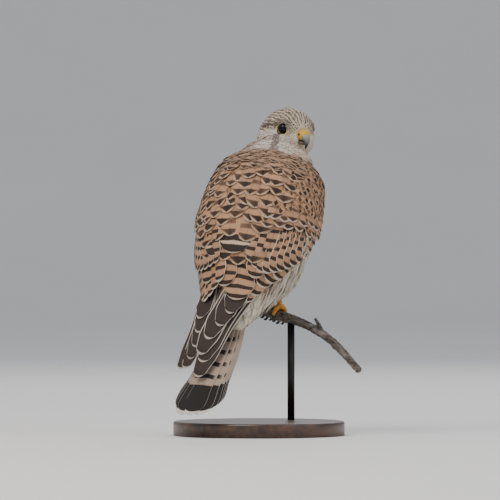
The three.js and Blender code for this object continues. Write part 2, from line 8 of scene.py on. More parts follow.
import logging
import math
from dataclasses import dataclass, field
from enum import Enum
from typing import Callable, Sequence

import bmesh
import bpy
import numpy as np
from bpy.types import Material, Mesh, NodeSocket, Object
from mathutils import Matrix, Vector, noise
from mathutils.bvhtree import BVHTree


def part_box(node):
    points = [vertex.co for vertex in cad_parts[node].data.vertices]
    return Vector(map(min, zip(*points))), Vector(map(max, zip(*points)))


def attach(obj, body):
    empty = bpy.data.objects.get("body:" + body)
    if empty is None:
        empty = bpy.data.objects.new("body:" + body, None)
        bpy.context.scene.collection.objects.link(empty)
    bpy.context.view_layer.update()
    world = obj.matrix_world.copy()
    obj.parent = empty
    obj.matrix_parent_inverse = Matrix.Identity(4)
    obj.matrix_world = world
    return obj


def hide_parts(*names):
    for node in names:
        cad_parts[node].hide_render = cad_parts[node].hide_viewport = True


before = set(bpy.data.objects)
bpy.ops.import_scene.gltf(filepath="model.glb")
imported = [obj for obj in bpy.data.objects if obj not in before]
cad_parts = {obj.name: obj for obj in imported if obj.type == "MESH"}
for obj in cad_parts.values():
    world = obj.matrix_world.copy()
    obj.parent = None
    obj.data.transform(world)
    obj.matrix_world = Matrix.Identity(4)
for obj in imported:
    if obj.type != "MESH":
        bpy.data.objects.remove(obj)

log = logging.getLogger("kestrel")
Array = np.ndarray
Pair = tuple[float, float]
Triple = tuple[float, float, float]
Rows = Sequence[Sequence[float]]
Field = Callable[[Array], Array]
Place = Callable[[Array, Array, Array], Array]
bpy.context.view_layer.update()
MM = 0.001

# The body's own lines, as in the part's source.
SPINE: Rows = ((-190, 96.4, 16.4), (-73, 31, 113), (0, 0, 180), (45, -21, 220), (75, -36, 246), (87, -39, 257.5))
WINGS: Rows = (
    (-190, 22, 8, 6), (-150, 24, 11, 8), (-120, 29, 15, 12), (-95, 33, 20, 18), (-73, 38, 27, 28),
    (-50, 46, 35.5, 42), (-25, 53.5, 41.5, 52), (0, 55, 45, 51.5), (25, 52, 43.5, 45.5), (45, 46, 37.5, 43),
    (60, 34, 27, 34), (70, 26, 22, 24),
)
TORSO: Rows = (
    (-100, 9, 5, 7), (-88, 16, 8, 13), (-73, 23, 16, 23), (-50, 34, 28, 39), (-25, 42, 37, 49), (0, 46, 42, 51),
    (25, 46, 41, 47), (45, 41, 35, 42), (58, 32.5, 26.5, 33), (66, 28.5, 23.5, 29), (73, 25, 21.5, 25),
)
OUTWARD = np.array([-0.53, 0.848, 0.0])
EYE_AXIS = (0.52, 0.853, 0.04)


def rgb(code: str) -> tuple[float, float, float, float]:
    """Turns a display colour such as 'a88566' into the linear colour that a shader takes."""
    parts = [int(code[i : i + 2], 16) / 255 for i in (0, 2, 4)]
    return tuple(p / 12.92 if p <= 0.04045 else ((p + 0.055) / 1.055) ** 2.4 for p in parts) + (1.0,)


def unit(vectors: Array) -> Array:
    """Scales vectors in the last axis to length one."""
    return vectors / np.maximum(np.linalg.norm(vectors, axis=-1, keepdims=True), 1e-9)


def smooth(low: float, high: float, at: Array) -> Array:
    """A soft step from 0 at low to 1 at high."""
    t = np.clip((np.asarray(at, float) - low) / (high - low), 0, 1)
    return t * t * (3 - 2 * t)


def read_table(rows: Rows, at: Array) -> Array:
    """Reads a smooth curve through rows of position and values.

    Args:
        rows: each row's position, then its values.
        at: positions to read, of any shape.

    Returns:
        The values, with one more axis than at.
    """
    table = np.asarray(rows, float)
    x = np.clip(np.asarray(at, float), table[0, 0], table[-1, 0])
    i = np.clip(np.searchsorted(table[:, 0], x, side="right") - 1, 0, len(table) - 2)
    span = np.diff(table[:, 0])[:, None]
    rise = np.diff(table[:, 1:], axis=0) / span
    inner = (rise[:-1] * span[1:] + rise[1:] * span[:-1]) / (span[:-1] + span[1:])
    slope = np.vstack([rise[:1], inner, rise[-1:]])
    h = span[i]
    t = ((x - table[i, 0])[..., None]) / h
    ends = (2 * t**3 - 3 * t**2 + 1) * table[i, 1:] + (3 * t**2 - 2 * t**3) * table[i + 1, 1:]
    return ends + (t**3 - 2 * t**2 + t) * h * slope[i] + (t**3 - t**2) * h * slope[i + 1]


def along(places: Rows, share: Array) -> Array:
    """Reads a list of evenly spaced places at shares of its length."""
    steps = np.linspace(0, 1, len(places))
    return read_table(np.column_stack([steps, np.asarray(places, float)]), share)


class Spine:
    """The line that the trunk and tail are built along."""

    samples = np.linspace(-190, 87, 400)

    @staticmethod
    def frame(d: Array) -> tuple[Array, Array, Array]:
        """The spine's middle, its direction towards the head and the direction out of the back.

        Args:
            d: distances along the spine from the body's middle.

        Returns:
            Three arrays of vectors.
        """
        d = np.asarray(d, float)
        pad = np.zeros(d.shape + (1,))
        middle = np.concatenate([pad, read_table(SPINE, d)], -1)
        ahead = np.concatenate([pad, read_table(SPINE, d + 1) - read_table(SPINE, d - 1)], -1)
        up = unit(ahead)
        back = np.stack([pad[..., 0], up[..., 2], -up[..., 1]], -1)
        return middle, up, back

    @classmethod
    def distance(cls, points: Array) -> Array:
        """How far along the spine each point is.

        Args:
            points: places, in millimetres.

        Returns:
            One distance for each.
        """
        line = read_table(SPINE, cls.samples)
        gap = ((points[:, None, 1:] - line[None]) ** 2).sum(-1)
        return cls.samples[gap.argmin(1)]

    @classmethod
    def around(cls, points: Array) -> tuple[Array, Array]:
        """Where each point is, along the spine and round it.

        Args:
            points: places, in millimetres.

        Returns:
            Distances along the spine, and degrees from the back, positive towards the bird's right.
        """
        d = cls.distance(points)
        middle, _, back = cls.frame(d)
        away = points - middle
        return d, np.degrees(np.arctan2(-away[:, 0], (away * back).sum(-1)))


@dataclass(frozen=True)
class Form:
    """A rounded form along the spine, from its half-width, back height and front height."""

    rows: Rows

    def point(self, d: Array, degrees: Array, lift: Array | float = 0.0) -> Array:
        """Places on the form.

        Args:
            d: distance along the spine.
            degrees: angle round it from the back, positive towards the bird's right.
            lift: height over the surface.

        Returns:
            One place for each.
        """
        side, back_height, front = np.moveaxis(read_table(self.rows, d), -1, 0)
        middle, _, out = Spine.frame(d)
        a = np.radians(degrees)
        height = np.where(np.cos(a) > 0, back_height, front) + lift
        across = np.zeros_like(middle)
        across[..., 0] = -(side + lift) * np.sin(a)
        return middle + out * (height * np.cos(a))[..., None] + across

    def normal(self, d: Array, degrees: Array) -> Array:
        """Outward directions on the form.

        Args:
            d: distance along the spine.
            degrees: angle round it, as for point.

        Returns:
            One vector for each.
        """
        lengthwise = self.point(d + 1, degrees) - self.point(d - 1, degrees)
        around = self.point(d, degrees + 2) - self.point(d, degrees - 2)
        normal = unit(np.cross(lengthwise, around))
        outward = self.point(d, degrees) - Spine.frame(d)[0]
        return np.where((normal * outward).sum(-1, keepdims=True) < 0, -normal, normal)


WING_FACE = Form(WINGS)
TRUNK = Form(TORSO)


@dataclass(frozen=True)
class HeadFrame:
    """The head's own axes: x forwards along the bill, y to its left, z up."""

    centre: Triple = (-5.9, -40, 255.5)
    turn: float = 112
    nod: float = 13

    def matrix(self) -> Array:
        """The turn of the head as a 3 by 3 matrix."""
        turn = Matrix.Rotation(math.radians(-90 - self.turn), 3, "Z")
        return np.array(turn @ Matrix.Rotation(math.radians(self.nod), 3, "Y"))

    def out(self, points: Array) -> Array:
        """Puts places of the head's frame into the part's frame."""
        return np.asarray(points, float) @ self.matrix().T + np.array(self.centre)

    def turn_out(self, vectors: Array) -> Array:
        """Turns directions of the head's frame into the part's frame."""
        return np.asarray(vectors, float) @ self.matrix().T

    def into(self, points: Array) -> Array:
        """Puts places of the part's frame into the head's frame."""
        return (np.asarray(points, float) - np.array(self.centre)) @ self.matrix()


HEAD = HeadFrame()


# ---- shader maths


class Value:
    """A shader value whose Python operators add Math nodes."""

    def __init__(self, shader: "Shader", socket: NodeSocket) -> None:
        """Wraps a socket of a shader."""
        self.shader, self.socket = shader, socket

    def math(self, operation: str, *others: "Value | float") -> "Value":
        """Adds one Math node that takes this value first."""
        made = self.shader.node("ShaderNodeMath", {"operation": operation}, dict(enumerate((self, *others))))
        return Value(self.shader, made.outputs[0])

    def reflected(self, operation: str, other: float) -> "Value":
        """Adds one Math node that takes this value second."""
        made = self.shader.node("ShaderNodeMath", {"operation": operation}, {0: other, 1: self})
        return Value(self.shader, made.outputs[0])

    def __add__(self, other: "Value | float") -> "Value":
        """Sum."""
        return self.math("ADD", other)

    __radd__ = __add__

    def __sub__(self, other: "Value | float") -> "Value":
        """Difference."""
        return self.math("SUBTRACT", other)

    def __rsub__(self, other: float) -> "Value":
        """Difference from a number."""
        return self.reflected("SUBTRACT", other)

    def __mul__(self, other: "Value | float") -> "Value":
        """Product."""
        return self.math("MULTIPLY", other)

    __rmul__ = __mul__

    def __truediv__(self, other: "Value | float") -> "Value":
        """Quotient."""
        return self.math("DIVIDE", other)

    def __rtruediv__(self, other: float) -> "Value":
        """Quotient of a number."""
        return self.reflected("DIVIDE", other)

    def __abs__(self) -> "Value":
        """Size without sign."""
        return self.math("ABSOLUTE")

    def least(self, other: "Value | float") -> "Value":
        """The smaller of two values."""
        return self.math("MINIMUM", other)

    def most(self, other: "Value | float") -> "Value":
        """The larger of two values."""
        return self.math("MAXIMUM", other)

    def step(self, low: "Value | float", high: "Value | float") -> "Value":
        """A soft step from 0 at low to 1 at high."""
        settings, sockets = {"interpolation_type": "SMOOTHSTEP"}, {0: self, 1: low, 2: high, 3: 0.0, 4: 1.0}
        return Value(self.shader, self.shader.node("ShaderNodeMapRange", settings, sockets).outputs[0])


class Shader:
    """One material's nodes."""

    def __init__(self, name: str) -> None:
        """Starts an empty material of that name."""
        self.material = bpy.data.materials.new(name)
        self.material.use_nodes = True
        self.tree = self.material.node_tree
        self.tree.nodes.clear()

    def node(self, kind: str, settings: dict | None = None, inputs: dict | None = None) -> bpy.types.Node:
        """Adds a node.

        Args:
            kind: the node's type.
            settings: its own settings.
            inputs: socket name or number to a value, a socket or a constant.

        Returns:
            The new node.
        """
        made = self.tree.nodes.new(kind)
        for key, value in (settings or {}).items():
            setattr(made, key, value)
        for key, value in (inputs or {}).items():
            socket = value.socket if isinstance(value, Value) else value
            if isinstance(socket, NodeSocket):
                self.tree.links.new(socket, made.inputs[key])
            else:
                made.inputs[key].default_value = value
        return made

    def value(self, socket: NodeSocket) -> Value:
        """Wraps a socket for maths."""
        return Value(self, socket)

    def attribute(self, name: str) -> bpy.types.Node:
        """Reads one of the mesh's attributes."""
        return self.node("ShaderNodeAttribute", {"attribute_name": name})

    def split(self, socket: NodeSocket) -> tuple[Value, Value, Value]:
        """The three parts of a vector."""
        made = self.node("ShaderNodeSeparateXYZ", None, {0: socket})
        return tuple(Value(self, out) for out in made.outputs)

    def join(self, x: Value | float, y: Value | float, z: Value | float) -> NodeSocket:
        """A vector from three values."""
        return self.node("ShaderNodeCombineXYZ", None, {0: x, 1: y, 2: z}).outputs[0]

    def place(self) -> NodeSocket:
        """Object coordinates, in metres."""
        return self.node("ShaderNodeTexCoord").outputs["Object"]

    def noise(self, vector: NodeSocket, scale: float, detail: float = 2.0, rough: float = 0.5) -> Value:
        """Smooth random values."""
        sockets = {"Vector": vector, "Scale": scale, "Detail": detail, "Roughness": rough}
        return Value(self, self.node("ShaderNodeTexNoise", None, sockets).outputs[0])

    def mix(self, factor: Value | float, a: object, b: object, blend: str = "MIX") -> NodeSocket:
        """Blends two colours."""
        made = self.node("ShaderNodeMix", {"data_type": "RGBA", "blend_type": blend}, {0: factor, 6: a, 7: b})
        return made.outputs[2]

    def scaled(self, vector: NodeSocket, by: Triple) -> NodeSocket:
        """A vector with each part multiplied."""
        return self.node("ShaderNodeVectorMath", {"operation": "MULTIPLY"}, {0: vector, 1: by}).outputs[0]

    def axes(self, vector: NodeSocket, centre: Array, turn: Array) -> tuple[Value, ...]:
        """The parts of a place along turned axes, in millimetres.

        Args:
            vector: the place, in metres.
            centre: the axes' origin, in millimetres.
            turn: the axes as the columns of a matrix.

        Returns:
            One value for each axis.
        """
        origin = tuple(np.array(centre) * MM)
        away = self.node("ShaderNodeVectorMath", {"operation": "SUBTRACT"}, {0: vector, 1: origin}).outputs[0]
        dots = [
            self.node("ShaderNodeVectorMath", {"operation": "DOT_PRODUCT"}, {0: away, 1: tuple(axis / MM)})
            for axis in turn.T
        ]
        return tuple(Value(self, dot.outputs["Value"]) for dot in dots)

    def distance(self, vector: NodeSocket, place: Array) -> Value:
        """How far a vector is from a place, both in metres."""
        made = self.node("ShaderNodeVectorMath", {"operation": "DISTANCE"}, {0: vector, 1: tuple(place)})
        return Value(self, made.outputs["Value"])

    def bump(self, height: Value, distance: float, strength: float = 1.0) -> NodeSocket:
        """A normal raised by a height in metres of distance."""
        made = self.node("ShaderNodeBump", None, {"Height": height, "Distance": distance, "Strength": strength})
        return made.outputs[0]

    def finish(self, inputs: dict) -> Material:
        """Ends the material in one Principled shader with these inputs."""
        surface = self.node("ShaderNodeBsdfPrincipled", None, inputs)
        self.node("ShaderNodeOutputMaterial", None, {"Surface": surface.outputs[0]})
        return self.material


# ---- feathers


@dataclass(frozen=True)
class VaneShape:
    """The outline and section of one kind of feather.

    The outline gives the half-width at shares of the length, the fall is how far the outer barbs
    lie back at the tip, hollow is the radius that the vane bends to across its width, and the tip's
    rounding starts at the share blunt.
    """

    rows: int = 6
    columns: int = 4
    outline: Rows = ((0, 0.42), (0.2, 0.8), (0.5, 1), (0.8, 0.93), (1, 0.62))
    fall: float = 0.55
    thick: float = 0.16
    shaft: float = 0.22
    hollow: float = 14.0
    blunt: float = 0.35

    def template(self) -> "VaneTemplate":
        """Builds the flat closed plate that every feather of this kind is bent from.

        Returns:
            The plate's corners and faces.
        """
        mesh = bmesh.new()
        bmesh.ops.create_grid(mesh, x_segments=self.columns, y_segments=self.rows, size=1.0)
        bmesh.ops.solidify(mesh, geom=list(mesh.faces), thickness=0.5)
        bmesh.ops.recalc_face_normals(mesh, faces=list(mesh.faces))
        mesh.verts.index_update()
        co = np.array([v.co for v in mesh.verts])
        middle = (co[:, 2].min() + co[:, 2].max()) / 2
        faces = [[v.index for v in face.verts] for face in mesh.faces]
        mesh.free()
        return VaneTemplate(
            self,
            across=np.round(co[:, 0], 5),
            row=np.rint((co[:, 1] + 1) / 2 * self.rows).astype(int),
            side=np.where(co[:, 2] > middle, 1.0, -1.0),
            faces=faces,
        )


@dataclass
class VaneTemplate:
    """Where each corner of the flat plate lies: across from -1 to 1, its row, and its side."""

    shape: VaneShape
    across: Array
    row: Array
    side: Array
    faces: list[list[int]]


@dataclass
class Feathers:
    """A group of feathers of one kind, as arrays with one entry for each feather.

    Points and normals hold one vector for each row of the vane, from root to tip.
    """

    points: Array
    normals: Array
    width: Array
    tone: Array
    mark: Array
    root: Array
    roll: Array | float = 0.0


def varied(base: Array, spread: float, count: int, draw: np.random.Generator) -> Array:
    """Colours feathers a little lighter or darker, and adds a random number for the finish to each."""
    tone = np.broadcast_to(base, (count, 3)) * draw.uniform(1 - spread, 1 + spread, (count, 1))
    return np.concatenate([np.clip(tone, 0, 1), draw.random((count, 1))], 1)


def between(ends: Sequence[float], share: Array) -> Array:
    """Values that run evenly from the first end to the second."""
    return ends[0] + (ends[1] - ends[0]) * share


def skin_map(points: Array) -> Array:
    """The place of each body point on the unwrapped skin.

    Args:
        points: places, in millimetres.

    Returns:
        Places on the map, with the trunk below and the head above.
    """
    d, degrees = Spine.around(points)
    trunk = np.stack([0.02 + 0.96 * (degrees / 360 + 0.5), 0.01 + 0.68 * (d + 190) / 280], -1)
    local = HEAD.into(points) - np.array([-4.0, 0, 0])
    turn = np.arctan2(local[:, 1], local[:, 0]) / (2 * math.pi) + 0.5
    rise = np.arctan2(local[:, 2], np.hypot(local[:, 0], local[:, 1])) / math.pi + 0.5
    head = np.stack([0.02 + 0.96 * turn, 0.71 + 0.28 * rise], -1)
    return np.where((d > 74)[:, None], head, trunk)


def mesh_of(name: str, form: bmesh.types.BMesh) -> Mesh:
    """Ends the modelling of a form.

    Args:
        name: the mesh's name.
        form: the form, which is freed.

    Returns:
        Its mesh.
    """
    mesh = bpy.data.meshes.new(name)
    form.to_mesh(mesh)
    form.free()
    return mesh


def new_piece(
    name: str, mesh: Mesh, material: Material, slot: str, *replaced: str
) -> Object:
    """Makes a mesh a piece of the object.

    Args:
        name: the piece's name.
        mesh: its mesh, in place.
        material: its finish.
        slot: a material slot's name; not used.
        replaced: the solids that it stands for.

    Returns:
        The new object.
    """
    piece = bpy.data.objects.new(name, mesh)
    bpy.context.scene.collection.objects.link(piece)
    mesh.materials.append(material)
    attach(piece, "root")
    if replaced:
        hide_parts(*replaced)
    log.info("%s: %d faces", name, len(mesh.polygons))
    return piece


def store(mesh: Mesh, name: str, kind: str, values: Array) -> None:
    """Writes an attribute of a mesh, with one entry for each corner."""
    slot = {"FLOAT": "value", "FLOAT_VECTOR": "vector", "FLOAT_COLOR": "color"}[kind]
    mesh.attributes.new(name, kind, "POINT").data.foreach_set(slot, values.astype(np.float32).ravel())


def array_mesh(name: str, points: Array, faces: Array) -> Mesh:
    """A smooth mesh from arrays.

    Args:
        name: the mesh's name.
        points: corners, in millimetres.
        faces: four corner numbers for each face.

    Returns:
        The mesh, in metres.
    """
    mesh = bpy.data.meshes.new(name)
    mesh.vertices.add(len(points))
    mesh.vertices.foreach_set("co", (points * MM).astype(np.float32).ravel())
    mesh.loops.add(faces.size)
    mesh.loops.foreach_set("vertex_index", faces.astype(np.int32).ravel())
    mesh.polygons.add(len(faces))
    mesh.polygons.foreach_set("loop_start", np.arange(0, faces.size, faces.shape[1], dtype=np.int32))
    mesh.polygons.foreach_set("use_smooth", np.ones(len(faces), bool))
    mesh.update(calc_edges=True)
    return mesh


def plumage_mesh(name: str, shape: VaneShape, group: Feathers) -> Mesh:
    """Bends a vane into place for every feather of a group and joins them.

    Args:
        name: the mesh's name.
        shape: the kind of vane.
        group: where the feathers lie and what they wear.

    Returns:
        One mesh with the attributes Vane, Tone and Mark and the map OFBake.
    """
    vane = shape.template()
    count, corners = len(group.points), len(vane.across)
    share = np.linspace(0, 1, shape.rows + 1)
    outline = read_table(shape.outline, share)[:, 0]
    ahead = unit(np.gradient(group.points, axis=1))
    across = unit(np.cross(ahead, group.normals))
    up = unit(np.cross(across, ahead))
    roll = np.radians(np.broadcast_to(group.roll, count))[:, None, None]
    across, up = across * np.cos(roll) + up * np.sin(roll), up * np.cos(roll) - across * np.sin(roll)
    row, c, side = vane.row, vane.across, vane.side
    half = (group.width[:, None] / 2) * outline[row][None]
    sideways = c[None] * half
    edge = np.abs(c) ** 2
    body = (1 - 0.8 * edge) * (1 - 0.5 * share[row] ** 2)
    quill = (np.abs(c) < 0.01) & (side > 0)
    height = side * shape.thick / 2 * body + quill * shape.shaft * (1 - share[row])
    height = height[None] - sideways**2 / (2 * shape.hollow)
    length = np.linalg.norm(np.diff(group.points, axis=1), axis=-1).sum(1)
    fall = shape.fall * edge[None] * half * smooth(shape.blunt, 1, share[row])[None]
    place = group.points[:, row] + across[:, row] * sideways[..., None] + up[:, row] * height[..., None]
    place = place - ahead[:, row] * fall[..., None]
    quads = np.array(vane.faces)[None] + (np.arange(count) * corners)[:, None, None]
    mesh = array_mesh(name, place.reshape(-1, 3), quads.reshape(-1, 4))
    from_tip = length[:, None] * (1 - share[row])[None] + fall * 0.35
    store(mesh, "Vane", "FLOAT_VECTOR", np.stack([sideways, from_tip, np.broadcast_to(half, sideways.shape)], -1))
    store(mesh, "Tone", "FLOAT_COLOR", np.repeat(group.tone, corners, axis=0))
    store(mesh, "Mark", "FLOAT", np.repeat(group.mark, corners))
    patch = np.stack([c / 2, share[row] - 0.5], -1)[None] * 0.003
    at = (skin_map(group.root)[:, None] + patch).reshape(-1, 2)
    corner = np.empty(len(mesh.loops), np.int32)
    mesh.loops.foreach_get("vertex_index", corner)
    mesh.uv_layers.new(name="OFBake").data.foreach_set("uv", at[corner].astype(np.float32).ravel())
    return mesh


# ---- colours of the plumage


class Shade(Enum):
    """The plumage's plain colours."""

    RUFOUS = "b08766"
    TAWNY = "a9886d"
    COVERT = "ac8363"
    FLIGHT = "5a4a41"
    TAIL = "a58f7b"
    RUMP = "a08a76"
    CROWN = "c8b69f"
    CHEEK = "d6cdc2"
    THROAT = "d3c5b0"
    STRIPE = "4b423c"
    LORE = "a8935a"
    BREAST = "d0b290"
    BELLY = "e8dcc4"

    def linear(self) -> Array:
        """The colour as three linear numbers."""
        return np.array(rgb(self.value)[:3])


class Markings:
    """Which colour and how much dark marking the plumage has at each place, for skin and feathers."""

    @staticmethod
    def blend(base: Array, over: Shade, share: Array) -> Array:
        """Lays a colour over others by a share for each place."""
        return base + (over.linear() - base) * np.clip(share, 0, 1)[:, None]

    @staticmethod
    def plain(shade: Shade, like: Array) -> Array:
        """One colour for each entry of an array."""
        return np.tile(shade.linear(), (len(like), 1))

    @classmethod
    def at(cls, points: Array) -> tuple[Array, Array]:
        """Looks up the colour and marking.

        Args:
            points: places on the body, in millimetres.

        Returns:
            Linear colours, and the strength of dark streaks from 0 to 1.
        """
        d, turned = Spine.around(points)
        colour, mark = cls.trunk(d, np.abs(turned))
        draped, collar = cls.collar(d, turned)
        colour = colour + (draped - colour) * (0.9 * collar)[:, None]
        mark = mark * (1 - 0.9 * collar)
        head, streak = cls.head(HEAD.into(points))
        on_head = smooth(66, 76, d)
        return colour + (head - colour) * on_head[:, None], mark + (streak - mark) * on_head

    @classmethod
    def trunk(cls, d: Array, degrees: Array) -> tuple[Array, Array]:
        """The rufous back, buff breast, cream belly and greyer rump.

        Args:
            d: distance along the spine.
            degrees: angle from the back, to either side.

        Returns:
            As for at.
        """
        colour = cls.plain(Shade.RUFOUS, d)
        mark = np.full(len(d), 0.85)
        front = smooth(92, 118, degrees)
        colour = cls.blend(colour, Shade.BREAST, front)
        low = smooth(10, -30, d) * smooth(80, 110, degrees)
        colour = cls.blend(colour, Shade.BELLY, low)
        mark = mark * (1 - 0.75 * low)
        rump = smooth(-62, -76, d)
        under = np.maximum(front, smooth(30, 55, degrees))
        colour = cls.blend(colour, Shade.RUMP, rump * (1 - under))
        colour = cls.blend(colour, Shade.BELLY, rump * under)
        return colour, mark * (1 - 0.8 * rump)

    @classmethod
    def collar(cls, d: Array, turned: Array) -> tuple[Array, Array]:
        """The pale throat feathers that the turned head drapes over the right shoulder.

        Args:
            d: distance along the spine.
            turned: angle from the back, positive towards the bird's right.

        Returns:
            Linear colours, with the moustache's dark end, and the collar's share from 0 to 1.
        """
        draped = cls.blend(cls.plain(Shade.CHEEK, d), Shade.THROAT, smooth(35, 62, turned))
        fold = smooth(9, 4, np.abs(turned - 23.5)) * smooth(45, 50, d)
        draped = cls.blend(draped, Shade.STRIPE, 0.8 * fold)
        upper = smooth(55, 61, d)
        right = smooth(-34, -8, turned) * np.maximum(smooth(150, 112, turned), upper)
        left = smooth(-100, -130, turned) * upper
        return draped, smooth(45, 51, d + 0.06 * np.clip(turned, -60, 0)) * np.maximum(right, left)

    @classmethod
    def head(cls, local: Array) -> tuple[Array, Array]:
        """The streaked crown, pale cheek, moustache stripe and the dark line behind the eye.

        Args:
            local: places in the head's frame.

        Returns:
            As for at.
        """
        x, y, z = local[:, 0], np.abs(local[:, 1]), local[:, 2]
        cheek = smooth(1.5, -2.0, z - 2.4 - 0.3 * np.minimum(x, 4)) * smooth(-24, -16, x)
        throat = smooth(-9, -13, z - 0.25 * x) * smooth(-8, 2, x)
        line = smooth(2.1, 0.9, np.abs(z - 6.4 - 0.33 * x)) * smooth(-19, -12, x) * smooth(6, 3, x)
        stripe = smooth(3.8, 1.8, np.abs(x - 8.2 - 0.6 * (z + 1.5))) * smooth(6, 9, y)
        stripe = stripe * smooth(2, -1, z) * smooth(-22, -15, z)
        lore = smooth(3.4, 1.4, np.hypot((x - 14.2) * 0.8, z - 2.6)) * smooth(4, 6, y)
        brow = smooth(9.0, 7.0, np.hypot(x - 8.5, z - 4.8)) * smooth(8, 11, y) * smooth(-1, 2.5, z - 4.8)
        head = cls.plain(Shade.CROWN, x)
        for shade, share in (
            (Shade.CHEEK, cheek), (Shade.THROAT, throat), (Shade.STRIPE, 0.95 * line), (Shade.STRIPE, 0.9 * stripe),
            (Shade.LORE, 0.75 * lore), (Shade.STRIPE, 0.75 * brow),
        ):
            head = cls.blend(head, shade, share)
        return head, 1 - 0.92 * cheek


class Marking(Enum):
    """How a feather is marked."""

    PATCH = "grey-brown tip patch under a cream band and a dark bar"
    SPOT = "dark arrow near the tip"
    CHEVRON = "dark band under a pale tip"
    BARS = "several dark bars"
    STREAK = "dark line along the shaft"
    EDGED = "dark vane with a pale edge"
    TAIL = "narrow bars and a broad black band"
    PLAIN = "no marking"


